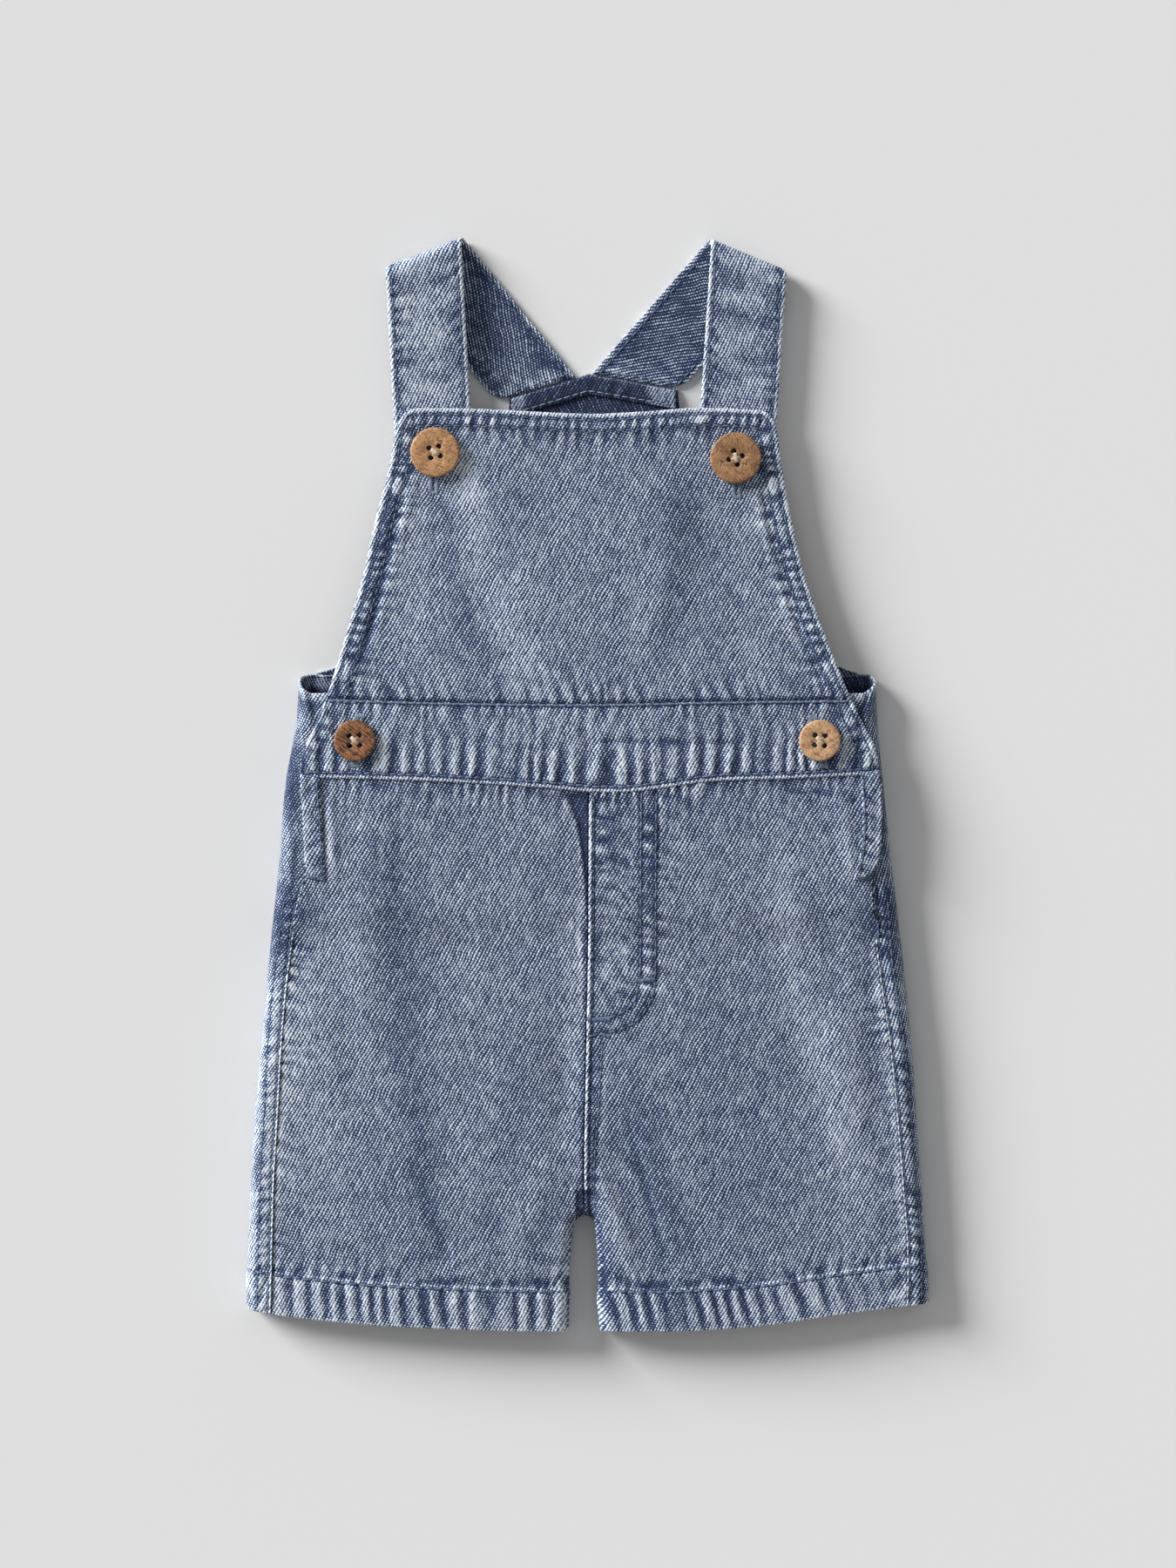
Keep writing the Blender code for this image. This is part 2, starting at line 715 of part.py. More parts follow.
def button(name, x, y, diameter, thickness, turn):
    """A turned disc with a rounded rim and a shallow dish, drilled with four holes."""
    radius = diameter / 2
    surface = bib_surface if y > 60.0 else waist_surface
    ring = [(x + radius * math.cos(a), y + radius * math.sin(a)) for a in (k * math.pi / 6 for k in range(12))]
    seat = max([surface(x, y)] + [surface(*place) for place in ring]) + SEAM_GAP
    dish = 0.35
    profile = (
        (0.0, thickness - dish),
        (radius * 0.5, thickness - dish),
        (radius * 0.66, thickness),
        (radius - 0.8, thickness),
        (radius, thickness - 0.8),
        (radius, 0.6),
        (radius - 0.6, 0.0),
        (0.0, 0.0),
    )
    mesh = bmesh.new()
    corners = [mesh.verts.new((r * MM, 0.0, z * MM)) for r, z in profile]
    for start, end in zip(corners, corners[1:]):
        mesh.edges.new((start, end))
    body = finish(name, mesh, "coconut")
    body.location = (x * MM, y * MM, seat * MM)
    spin = body.modifiers.new("turned", "SCREW")
    spin.steps = spin.render_steps = BUTTON_SIDES
    spin.use_merge_vertices = True
    spin.merge_threshold = 0.00001
    spin.use_smooth_shade = False

    drill = bmesh.new()
    for k in range(4):
        angle = math.radians(turn + 90.0 * k)
        drilled = bmesh.ops.create_cone(
            drill, cap_ends=True, segments=HOLE_SIDES, radius1=HOLE_RADIUS * MM, radius2=HOLE_RADIUS * MM,
            depth=(thickness + 2.0) * MM,
        )["verts"]
        centre = Vector((HOLE_CIRCLE * math.cos(angle), HOLE_CIRCLE * math.sin(angle), thickness / 2)) * MM
        bmesh.ops.translate(drill, verts=drilled, vec=centre)
    data = bpy.data.meshes.new(name + "_drill")
    drill.to_mesh(data)
    drill.free()
    cutter = bpy.data.objects.new(name + "_drill", data)
    cutter.location = body.location
    cutter.hide_render = True
    cutter.display_type = "WIRE"
    collections["Cutters"].objects.link(cutter)
    holes = body.modifiers.new("holes", "BOOLEAN")
    holes.operation = "DIFFERENCE"
    holes.object = cutter


def new_collection(name):
    made = bpy.data.collections.new(name)
    bpy.context.scene.collection.children.link(made)
    return made


def build():
    for side, word in ((-1, "left"), (1, "right")):
        wall("front_leg_" + word, front_leg(side), -side, 0.0, CLOTH, "denim", front_leg_relief(side))
        wall("back_leg_" + word, back_leg(side), -side, 0.0, CLOTH, "denim", back_leg_relief(side))
        wall("side_placket_" + word, side_placket(side), -side, PLACKET_CLOTH, 0.0, "denim")
    wall("front_waistband", waistband(), 1, 0.0, CLOTH, "denim", waistband_relief)
    wall("front_bib", bib(), 1, 0.0, CLOTH, "denim", bib_relief)
    wall("back_bib", back_bib(), -1, 0.0, CLOTH, "denim_inside")
    wall("back_yoke", yoke(), -1, 0.0, YOKE_CLOTH, "denim_inside")
    wall("yoke_facing", yoke_facing(), -1, 0.0, FACING_CLOTH, "denim_inside")
    half = STRAP_CLOTH / 2
    wall("strap_left", strap(-1, (-58.6, 192.1), 21.0, -3.1, -55.8), 1, half, half, "denim")
    wall("strap_right", strap(1, (57.0, 191.3), -22.5, 3.8, 53.5), 1, half, half, "denim")
    for row in BUTTONS:
        button(*row)


for old in list(bpy.data.objects):
    bpy.data.objects.remove(old)
collections = {name: new_collection(name) for name in ("Shortalls", "Cutters")}
build()
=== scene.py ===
import math
import random

import bmesh
import bpy
import numpy as np
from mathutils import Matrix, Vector
from mathutils.bvhtree import BVHTree


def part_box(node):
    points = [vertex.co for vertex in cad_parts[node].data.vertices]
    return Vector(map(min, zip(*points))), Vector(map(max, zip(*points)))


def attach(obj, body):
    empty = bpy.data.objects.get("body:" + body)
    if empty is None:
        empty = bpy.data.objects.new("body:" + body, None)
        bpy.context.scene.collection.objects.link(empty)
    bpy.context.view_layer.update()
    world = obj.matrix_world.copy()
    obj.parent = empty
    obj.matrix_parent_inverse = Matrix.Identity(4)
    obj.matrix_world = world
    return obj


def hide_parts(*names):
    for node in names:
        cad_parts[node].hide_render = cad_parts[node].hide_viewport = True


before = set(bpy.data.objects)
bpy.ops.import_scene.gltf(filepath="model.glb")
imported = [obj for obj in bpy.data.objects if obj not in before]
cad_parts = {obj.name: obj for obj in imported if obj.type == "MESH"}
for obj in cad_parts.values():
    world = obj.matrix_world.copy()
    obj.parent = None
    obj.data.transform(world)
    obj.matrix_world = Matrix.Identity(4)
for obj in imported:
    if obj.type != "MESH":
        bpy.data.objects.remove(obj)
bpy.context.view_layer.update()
bpy.ops.object.select_all(action="DESELECT")
mm = 0.001
print("frame loaded:", len(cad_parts), "nodes")


# Outlines, in mm, seen from above with the shoulders up
seamGap = 0.3
clothThick = 1.0
floorGap = 0.12

sides = (  # y, left, right
    (-202.0, -125.5, 125.5), (-192.0, -125.4, 125.2), (-160.0, -124.8, 123.6), (-128.0, -123.2, 121.3),
    (-96.0, -120.0, 119.0), (-64.0, -117.4, 115.8), (-32.0, -113.9, 112.0), (0.0, -111.2, 108.5),
    (22.0, -107.5, 106.6), (40.0, -106.5, 105.9),
)
frontEdge = (  # y, left, right
    (-202.0, -116.2, 116.4), (-171.0, -115.5, 116.8), (-146.0, -114.8, 115.0), (-122.0, -113.4, 113.0),
    (-96.0, -112.0, 110.4), (-74.0, -110.1, 107.2), (-58.0, -108.0, 105.3), (-46.0, -106.4, 104.6),
    (-36.0, -103.8, 104.4), (-27.0, -104.0, 107.0), (-11.0, -104.8, 107.8), (3.0, -105.6, 106.6),
    (11.0, -104.2, 105.3), (21.0, -99.5, 100.8), (32.0, -95.7, 96.0), (57.0, -88.0, 86.1),
    (76.0, -82.6, 79.7), (96.0, -78.1, 74.9), (115.0, -73.0, 71.4), (127.0, -70.9, 69.8),
    (135.0, -68.4, 68.2), (140.0, -66.5, 66.5),
)
hemLine = (  # x, y
    (-126.0, -193.2), (-110.4, -195.8), (-81.6, -198.7), (-56.0, -200.0), (-28.8, -201.0), (-7.0, -201.3),
    (5.0, -201.2), (35.2, -201.0), (67.2, -198.7), (89.0, -195.5), (114.2, -192.3), (126.0, -191.0),
)
waistSeams = (  # x, lower, upper
    (-107.0, 2.6, 31.5), (-78.0, 2.1, 30.4), (-50.0, 1.0, 29.6), (-14.0, -1.2, 29.1), (0.0, -2.5, 29.1),
    (16.0, -2.5, 29.3), (46.0, 1.3, 30.0), (77.0, 2.4, 30.4), (107.0, 4.0, 30.8),
)
bibTop = ((-70.0, 137.6), (-43.0, 137.5), (0.0, 135.6), (20.0, 136.4), (41.0, 137.8), (70.0, 136.6))
legGap = ((-202.0, -7.3, 4.9), (-192.0, -7.0, 4.0), (-176.0, -6.4, 3.4), (-163.2, -5.2, 2.6))
centreSeam = ((-160.0, -1.3), (-141.0, -1.7), (-104.0, -1.0), (-64.0, -0.2), (0.0, 0.2), (40.0, 0.2))
bodyRise = (  # y, height at the edge, height at the centre
    (-202.0, 10.2, 11.0), (-186.0, 10.6, 11.6), (-160.0, 11.0, 12.2), (-100.0, 11.0, 12.8),
    (40.0, 11.0, 12.8),
)
bibRise = (
    (28.0, 12.5, 14.3), (34.0, 12.4, 14.3), (45.0, 11.7, 14.0), (70.0, 10.2, 13.2), (100.0, 9.4, 11.8),
    (120.0, 9.5, 10.6), (140.0, 9.5, 10.0),
)
armholes = (  # y, left, right
    (40.0, -101.0, 100.4), (43.0, -91.0, 92.0), (47.0, -82.5, 84.0), (53.0, -73.5, 75.5), (62.0, -63.0, 66.0),
    (75.0, -53.0, 56.0), (90.0, -44.0, 48.0), (107.0, -36.5, 41.0), (125.0, -30.5, 35.0),
)
yokeTop = ((-28.8, 142.1), (0.3, 150.9), (33.0, 145.2))

body = {"hemY": -201.3, "waistY": -2.5, "backTopY": 40.0, "backTopDrop": 7.0, "standY": -34.0, "standX": 76.0,
        "sideRoll": 5.5, "crotchRoll": 4.5, "crotchY": -159.4, "crotchHalf": 3.85, "lap": 1.5,
        "lapFrom": -60.0, "lapTo": -45.0, "legPuff": 1.2}
largeFolds = (  # x, y, to x, to y, half width, depth
    (3.0, -122.0, 28.0, -182.0, 7.0, -0.8), (-4.0, -122.0, 14.0, -178.0, 6.0, 0.5),
    (-9.0, -84.0, -8.0, -132.0, 6.0, -0.8), (-80.0, -6.0, -82.0, -86.0, 9.0, 0.7),
    (92.0, -78.0, 98.0, -140.0, 9.0, 0.7), (-50.0, -160.0, -57.0, -182.0, 5.0, -0.5),
    (-34.0, 92.0, -14.0, 38.0, 12.0, 0.6), (40.0, 104.0, 44.0, 70.0, 9.0, -0.6),
)
smallFolds = (  # as above: creases too fine for the solids
    (-94.5, -4.0, -93.0, -40.0, 2.2, 0.75), (93.0, -4.0, 97.0, -38.0, 3.0, 0.7),
    (9.0, -128.0, 42.0, -170.0, 3.2, -0.35), (4.0, -140.0, 20.0, -190.0, 2.6, 0.4),
    (-6.0, -140.0, -20.0, -186.0, 3.5, -0.12), (-12.0, -134.0, -30.0, -178.0, 5.0, 0.35),
    (-92.0, -60.0, -88.0, -120.0, 4.0, -0.3), (104.0, -60.0, 106.0, -130.0, 3.5, -0.4),
    (84.0, -40.0, 92.0, -80.0, 4.0, -0.35), (-60.0, 128.0, -72.0, 70.0, 3.5, 0.35),
    (-66.5, 112.0, -82.5, 44.0, 1.7, -0.6), (-64.0, 116.0, -79.5, 46.0, 1.6, 0.55),
    (62.0, 116.0, 80.0, 50.0, 2.4, -0.5), (60.0, 112.0, 77.0, 48.0, 1.8, 0.4),
    (30.0, 90.0, 20.0, 44.0, 5.0, 0.3), (-20.0, 110.0, -40.0, 60.0, 6.0, -0.3),
    (8.0, 24.0, 2.0, -1.0, 1.6, 0.6), (-2.0, 22.0, 3.0, 4.0, 1.3, -0.5),
    (2.0, 15.6, 54.0, 14.6, 0.9, -0.45), (-34.0, 12.0, -6.0, 14.0, 1.2, -0.25),
    (13.0, -118.0, 29.5, -179.0, 1.5, -0.5), (-65.0, -139.0, -50.5, -175.0, 1.9, -0.25),
)
dyeAndCreaseShadeMarks = (  # as above, but the last value is a colour: above 0 rubbed pale, below 0 dark; most are wear and dye blotches, some are painted shade and highlight of creases and folds
    (-10.5, -4.2, -3.2, -4.8, 1.0, -0.6), (-3.5, -42.0, -2.6, -84.0, 1.1, 0.5),
    (-1.2, -50.0, -1.3, -70.0, 0.8, -0.4), (9.6, -4.5, 9.8, -33.0, 2.2, -0.6),
    (10.2, -44.0, 9.6, -80.0, 3.0, 0.22), (22.4, -3.0, 22.1, -48.0, 1.7, -0.6),
    (2.0, -12.2, 8.0, -12.4, 0.7, -0.8), (2.0, -15.2, 8.4, -15.4, 0.8, -0.8),
    (2.2, -18.4, 7.0, -18.2, 0.8, 0.6), (1.8, -21.6, 8.6, -21.0, 0.9, -0.9),
    (2.2, -24.8, 7.4, -25.2, 0.9, 0.6), (1.8, -29.0, 7.0, -29.4, 0.8, -0.7),
    (2.0, -32.2, 8.0, -31.4, 0.8, -0.6), (3.0, -36.0, 8.0, -36.6, 1.4, 0.4),
    (2.2, -41.0, 7.0, -41.4, 0.8, -0.4), (2.0, -55.5, 6.6, -55.0, 0.8, -0.4),
    (2.0, -63.0, 6.4, -63.6, 0.9, -0.4), (2.0, -76.0, 7.0, -75.4, 1.0, -0.4),
    (27.0, -6.0, 41.0, -7.6, 1.9, -0.5), (28.0, -12.0, 33.0, -12.4, 1.2, -0.5),
    (40.0, -10.6, 47.0, -10.2, 1.2, -0.35), (2.0, 15.4, 24.0, 15.2, 1.0, -0.55),
    (24.0, 15.0, 38.0, 14.4, 1.6, -1.0), (44.0, 14.8, 54.0, 15.2, 1.1, -0.6),
    (1.6, -95.0, 2.2, -150.0, 1.6, -0.5), (5.6, -100.0, 4.6, -140.0, 0.8, 0.5),
    # the two marks on the next line: painted shade along the troughs of two leg creases
    (12.8, -118.0, 29.3, -179.0, 1.0, -0.35), (-65.0, -139.0, -50.5, -175.0, 1.5, -0.2),
    (5.0, -177.4, 8.0, -182.6, 2.2, -1.0), (9.6, -180.6, 15.0, -182.8, 1.4, -0.9),
    (-121.0, -132.0, -122.4, -150.0, 1.6, -0.8), (14.0, -184.0, 30.0, -183.4, 1.5, -0.8),
    (50.0, -184.0, 62.0, -183.0, 1.4, -0.7), (-20.5, -182.6, -15.0, -182.4, 1.1, -0.7),
    (-11.4, -180.6, -7.8, -182.4, 1.3, -0.9), (-106.0, -66.5, -108.0, -68.0, 1.6, -0.9),
    (-109.0, -71.0, -108.4, -73.0, 1.3, -0.8), (-109.0, -84.0, -108.6, -87.0, 1.0, -0.7),
    # the two marks on the next line: painted highlight and shade on the two sides of a soft fold on the left
    # leg
    (-76.5, -8.0, -74.5, -46.0, 1.6, 0.3), (-71.0, -10.0, -70.0, -40.0, 1.6, -0.2),
    (70.0, -2.6, 99.0, -4.0, 1.1, -0.8), (78.0, -6.0, 86.0, -7.0, 1.2, -0.5),
    # the last mark on the next line and the first on the line after: painted highlight and shade on the lit
    # and shaded sides of a small fold
    (94.0, -6.4, 99.0, -6.0, 1.2, -0.8), (-96.0, -6.0, -94.4, -32.0, 1.2, 0.45),
    (-92.4, -6.0, -91.4, -30.0, 1.2, -0.4), (-108.0, 18.0, -109.5, -16.0, 2.6, -0.9),
    (-112.5, -8.0, -115.0, -34.0, 1.6, 0.4), (-107.0, -18.0, -108.5, -40.0, 1.0, -0.7),
    (107.5, 20.0, 109.0, -30.0, 1.0, -0.7), (109.6, 24.0, 111.5, -34.0, 0.9, 0.5),
    (-56.6, 106.8, -56.6, 116.0, 0.6, -1.3), (54.6, 105.3, 54.6, 114.0, 0.6, -1.3),
    (0.0, 24.0, -3.0, 8.0, 1.0, 0.5), (2.6, 12.0, 6.0, 0.0, 1.2, -0.6), (-2.6, 8.0, -6.0, 0.0, 1.4, -0.5),
)

# pale and dark marks on the straps, as foldsAt's table: partly dye blotches, partly painted crease shade and
# highlight
strapMarksAndCreaseShade = (
    (-73.3, 182.4, -64.0, 182.4, 1.8, -0.8), (-58.6, 183.7, -50.0, 186.0, 2.4, -0.5),
    (-72.0, 177.0, -49.6, 175.7, 2.6, 0.35), (-57.0, 174.6, -46.7, 171.2, 2.2, -0.4),
    (-71.7, 166.4, -50.0, 164.0, 3.2, 0.35), (-73.3, 155.2, -62.0, 155.0, 2.3, -0.7),
    (-62.0, 150.6, -50.0, 148.0, 1.9, -0.4), (-56.0, 160.0, -46.0, 158.0, 2.0, -0.3),
    # the last mark on the next line: painted shadow of the left front strap on its back part
    (-70.0, 147.0, -52.0, 144.0, 2.2, 0.25), (-40.0, 192.0, -34.0, 160.0, 4.0, -0.4),
    (-31.0, 149.0, -9.0, 147.0, 2.4, 0.6), (-21.0, 157.0, -7.0, 152.4, 2.2, -0.6),
    (-28.0, 175.0, -22.0, 172.0, 2.2, -0.4), (-23.0, 167.0, -16.0, 163.0, 1.8, -0.3),
    (-38.0, 165.0, -30.0, 156.0, 2.6, -0.4), (47.4, 187.6, 58.2, 182.4, 2.6, -0.8),
    (63.7, 180.8, 71.0, 174.7, 2.4, -0.5), (49.0, 179.6, 69.0, 176.6, 2.0, 0.4),
    (46.4, 173.8, 68.0, 168.6, 2.2, -0.6), (49.0, 164.6, 62.0, 162.6, 2.4, 0.4),
    (53.0, 157.0, 70.0, 153.4, 1.9, -0.4), (44.0, 152.4, 58.0, 147.6, 2.2, -0.5),
    # the last mark on the next line: painted shade beside the right front strap on its back part
    (55.0, 149.0, 68.0, 146.0, 2.0, 0.35), (30.0, 186.0, 40.0, 170.0, 4.0, -0.4),
    (5.0, 152.0, 32.0, 147.0, 2.6, 0.55), (6.0, 164.6, 20.0, 159.4, 2.4, -0.6),
    (24.0, 176.0, 34.0, 172.0, 2.0, -0.3),
)
paintedFoldLightAndShade = (  # painted highlight and shade of broad soft folds: (rows of y, x, half width from below upwards), how pale or dark
    (((8.0, -7.0, 8.0), (38.0, -19.0, 8.0), (76.5, -39.4, 7.0), (100.0, -43.0, 7.0),
      (130.0, -44.0, 6.0)), 0.24),
    (((30.0, -32.0, 5.0), (50.0, -39.0, 5.0), (68.8, -47.0, 4.5), (90.0, -51.0, 4.0),
      (120.0, -56.0, 4.0)), -0.24),
    (((40.0, -65.0, 4.5), (76.0, -63.5, 5.0), (112.0, -61.5, 4.0)), 0.12),
    (((36.0, 26.0, 6.0), (80.0, 32.0, 6.0), (124.0, 37.0, 6.0)), -0.26),
    (((30.0, 64.0, 8.0), (70.0, 60.0, 8.0), (114.0, 54.0, 6.0)), 0.2),
    # painted light that cancels the cast shadow of the left bib button
    (((100.0, -44.0, 5.5), (114.0, -46.5, 6.5), (128.0, -49.0, 6.0)), 0.5),
    (((40.0, 84.0, 4.5), (60.0, 78.0, 4.5), (90.0, 70.0, 4.5), (128.0, 61.0, 4.5)), 0.34),
    (((40.0, -85.0, 4.0), (60.0, -79.5, 4.0), (90.0, -74.0, 4.0), (128.0, -66.0, 4.0)), -0.28),
    (((-182.0, -96.0, 9.0), (-110.0, -96.5, 9.0), (-34.0, -94.0, 8.0)), 0.2),
    (((-170.0, -112.0, 6.0), (-110.0, -109.0, 6.0), (-58.0, -106.0, 5.0)), 0.26),
    (((-186.0, -55.0, 4.5), (-160.0, -57.5, 5.0), (-113.0, -64.3, 7.0), (-74.0, -68.2, 8.0),
      (-4.0, -77.0, 7.5)), -0.34),
    (((-184.0, -44.0, 9.0), (-110.0, -42.0, 9.0), (-20.0, -40.0, 9.0)), 0.1),
    (((-150.0, -9.0, 5.0), (-100.0, -7.0, 4.5), (-34.0, -5.0, 4.0)), 0.3),
    (((-182.0, 104.0, 7.0), (-150.0, 98.5, 7.0), (-113.0, 90.0, 7.5), (-75.0, 75.5, 8.0),
      (-6.0, 68.0, 7.0)), 0.28),
    (((-184.0, 35.0, 5.0), (-160.0, 30.5, 5.5), (-125.0, 22.0, 5.0), (-104.0, 15.0, 4.0)), -0.3),
    (((-180.0, 13.0, 5.0), (-150.0, 8.5, 5.0), (-126.0, 7.0, 4.0)), 0.18),
    (((-176.0, 54.0, 14.0), (-120.0, 46.0, 14.0), (-60.0, 42.0, 12.0)), -0.07),
    (((-206.0, -107.0, 15.0), (-192.0, -106.0, 15.0), (-180.0, -104.0, 14.0)), 0.2),
    (((-206.0, -58.0, 8.0), (-192.0, -57.5, 8.0), (-182.0, -57.0, 6.0)), -0.34),
    (((-206.0, 34.0, 28.0), (-192.0, 34.0, 28.0), (-183.0, 34.0, 26.0)), -0.36),
)


def curveAt(rows, at, column=1):  # smooth curve through a table's rows
    table = np.array(rows)
    xs, ys = table[:, 0], table[:, column]
    at = np.clip(np.asarray(at, dtype=float), xs[0], xs[-1])
    i = np.clip(np.searchsorted(xs, at, side="right") - 1, 0, len(xs) - 2)
    below, above = np.maximum(np.arange(len(xs)) - 1, 0), np.minimum(np.arange(len(xs)) + 1, len(xs) - 1)
    slopes = (ys[above] - ys[below]) / (xs[above] - xs[below])
    span = xs[i + 1] - xs[i]
    t = (at - xs[i]) / span
    return ((2 * t**3 - 3 * t**2 + 1) * ys[i] + (t**3 - 2 * t**2 + t) * span * slopes[i]
            + (3 * t**2 - 2 * t**3) * ys[i + 1] + (t**3 - t**2) * span * slopes[i + 1])


def smooth(share):
    share = np.clip(share, 0.0, 1.0)
    return share * share * (3.0 - 2.0 * share)


def mix(low, high, share):
    return low + (high - low) * share


def bump(distance, width):  # soft hump, 1 in the middle
    return np.exp(-((distance / width) ** 2))


def patches(x, y, size, seed, stretch=1.0):  # smooth unevenness from -1 to 1, longer along y by stretch
    lattice = np.random.RandomState(seed).uniform(-1.0, 1.0, (64, 64))
    u, v = np.asarray(x) / size, np.asarray(y) / (size * stretch)
    i, j = np.floor(u).astype(int), np.floor(v).astype(int)
    fu, fv = smooth(u - i), smooth(v - j)
    i, j = i % 64, j % 64
    low = mix(lattice[i, j], lattice[(i + 1) % 64, j], fu)
    high = mix(lattice[i, (j + 1) % 64], lattice[(i + 1) % 64, (j + 1) % 64], fu)
    return mix(low, high, fv)


def roping(along, away, period, reach, seed, slant=0.0):  # the crests and troughs beside a tight seam
    drift = patches(along, away * 0.4, period * 2.1, seed) * period * 0.75
    phase = 2.0 * math.pi * (along + slant * away + drift) / period
    crest = 2.0 * (0.5 + 0.5 * np.sin(phase)) ** 0.62 - 1.15
    crest += 0.35 * np.sin(2.37 * phase + 3.0 * patches(along, away, period * 1.3, seed + 2))
    strength = 0.60 + 0.48 * patches(along, away * 0.5, period * 1.6, seed + 1)
    return 1.35 * crest * strength * np.exp(-((np.abs(away) / reach) ** 1.6))


def edgeX(y, x):  # edge of the front on the side where x lies
    return np.where(np.asarray(x) < 0, curveAt(frontEdge, y, 1), curveAt(frontEdge, y, 2))


def foldsAt(x, y, table):
    total = np.zeros(np.broadcast(x, y).shape)
    for x0, y0, x1, y1, width, depth in table:
        length = math.hypot(x1 - x0, y1 - y0)
        along = ((x - x0) * (x1 - x0) + (y - y0) * (y1 - y0)) / length
        across = ((x - x0) * (y1 - y0) - (y - y0) * (x1 - x0)) / length
        ends = smooth(along / length * 3.0 + 0.3) * smooth((1.0 - along / length) * 3.0 + 0.3)
        total += depth * bump(across, width) * ends
    return total


# dye and wear marks, together with painted shade and highlight of folds and creases
def marksAndPaintedShadeAt(x, y):
    total = foldsAt(x, y, dyeAndCreaseShadeMarks) * (0.85 + 0.45 * patches(x, y, 3.1, 77))
    for rows, strength in paintedFoldLightAndShade:
        low, high = rows[0][0], rows[-1][0]
        fade = (high - low) * 0.22
        ends = smooth((y - low) / fade) * smooth((high - y) / fade)
        total += strength * bump(x - curveAt(rows, y, 1), curveAt(rows, y, 2)) * ends
    return total


def bodyHeight(x, y):
    share = np.clip(np.abs(x) / np.abs(edgeX(y, x)), 0.0, 1.0)
    low, high = curveAt(bodyRise, y, 1), curveAt(bodyRise, y, 2)
    puff = body["legPuff"] * smooth((-110.0 - y) / 60.0) * np.sin(math.pi * share)
    folds = foldsAt(x, y, largeFolds) * smooth((1.0 - share) * 8.0)
    return low + (high - low) * (1.0 - share**2) + puff + folds


def frontHeight(x, y):
    return bodyHeight(x, y) + body["lap"] * smooth((y - body["lapFrom"]) / (body["lapTo"] - body["lapFrom"]))


def bibHeight(x, y):
    share = np.clip(np.abs(x) / np.abs(edgeX(y, x)), 0.0, 1.0)
    low, high = curveAt(bibRise, y, 1), curveAt(bibRise, y, 2)
    return low + (high - low) * (1.0 - share**2) + foldsAt(x, y, largeFolds) * smooth((1.0 - share) * 6.0)


def gapEdge(side, y):
    crotchY, half = body["crotchY"], body["crotchHalf"]
    seam = curveAt(centreSeam, y)
    arch = curveAt(centreSeam, crotchY) + side * np.sqrt(np.maximum(0.0, half**2 - (y - crotchY + half) ** 2))
    low = curveAt(legGap, y, 1 if side < 0 else 2)
    return np.where(y >= crotchY, seam, np.where(y > crotchY - half, arch, low)) + side * seamGap / 2


def gapRoll(side, x, y):  # 1 on the flat, 0 where the cloth has turned down beside the legs' gap
    centreY = body["crotchY"] - body["crotchHalf"]
    upper = np.hypot(x - curveAt(centreSeam, body["crotchY"]), y - centreY) - body["crotchHalf"]
    away = np.where(y > centreY, upper, side * (x - gapEdge(side, y)))
    inside = np.clip(away, 0.0, body["crotchRoll"])
    return np.sqrt(np.maximum(0.0, 1.0 - ((body["crotchRoll"] - inside) / body["crotchRoll"]) ** 2))


def rollReach(angle, y):
    above = smooth((y - body["crotchY"] + body["crotchHalf"]) / (2.0 * body["crotchRoll"]))
    return mix(1.0 - np.sin(np.radians(angle)), 1.0 - angle / 90.0, above)


def legY(x, row, topLine, topY):
    share = (row - body["hemY"]) / (topY - body["hemY"])
    return row + (curveAt(hemLine, x) - body["hemY"]) * (1.0 - share) + (topLine - topY) * share


def spaced(start, stop, step, fine=()):  # stations, closer at each fine place: (place, reach, step)
    stations = np.linspace(start, stop, int(round((stop - start) / step)) + 1)
    for place, reach, close in fine:
        near = np.arange(max(start, place - reach), min(stop, place + reach) + close / 2, close)
        stations = np.concatenate([stations[np.abs(stations - place) > reach + step * 0.3], near])
    return np.unique(np.round(np.clip(stations, start, stop), 3))


def turnedDown(away, radius):  # how far a rounded edge lies below the flat
    inside = radius - np.clip(away, 0.0, radius)
    return -(radius - np.sqrt(np.maximum(0.0, radius**2 - inside**2)))


# Denim, thread and button finishes
def addNode(tree, kind, inputs=None, **settings):
    node = tree.nodes.new(kind)
    for key, value in settings.items():
        setattr(node, key, value)
    for key, value in (inputs or {}).items():
        if isinstance(value, bpy.types.NodeSocket):
            tree.links.new(value, node.inputs[key])
        else:
            node.inputs[key].default_value = value
    return node.outputs[0]


def sums(tree, kind, first, second, third=None):
    inputs = {0: first, 1: second}
    if third is not None:
        inputs[2] = third
    return addNode(tree, "ShaderNodeMath", inputs, operation=kind)


def newMaterial(name, roughness, **shaderValues):
    made = bpy.data.materials.new(name)
    made.use_nodes = True
    shader = made.node_tree.nodes["Principled BSDF"]
    shader.inputs["Roughness"].default_value = roughness
    for key, value in shaderValues.items():
        shader.inputs[key.replace("_", " ")].default_value = value
    return made, made.node_tree, shader


def rampOf(tree, factor, stops):
    node = tree.nodes.new("ShaderNodeValToRGB")
    tree.links.new(factor, node.inputs[0])
    while len(node.color_ramp.elements) < len(stops):
        node.color_ramp.elements.new(0.5)
    for element, (place, colour) in zip(node.color_ramp.elements, stops):
        element.position = place
        element.color = (*colour, 1.0)
    return node.outputs[0]


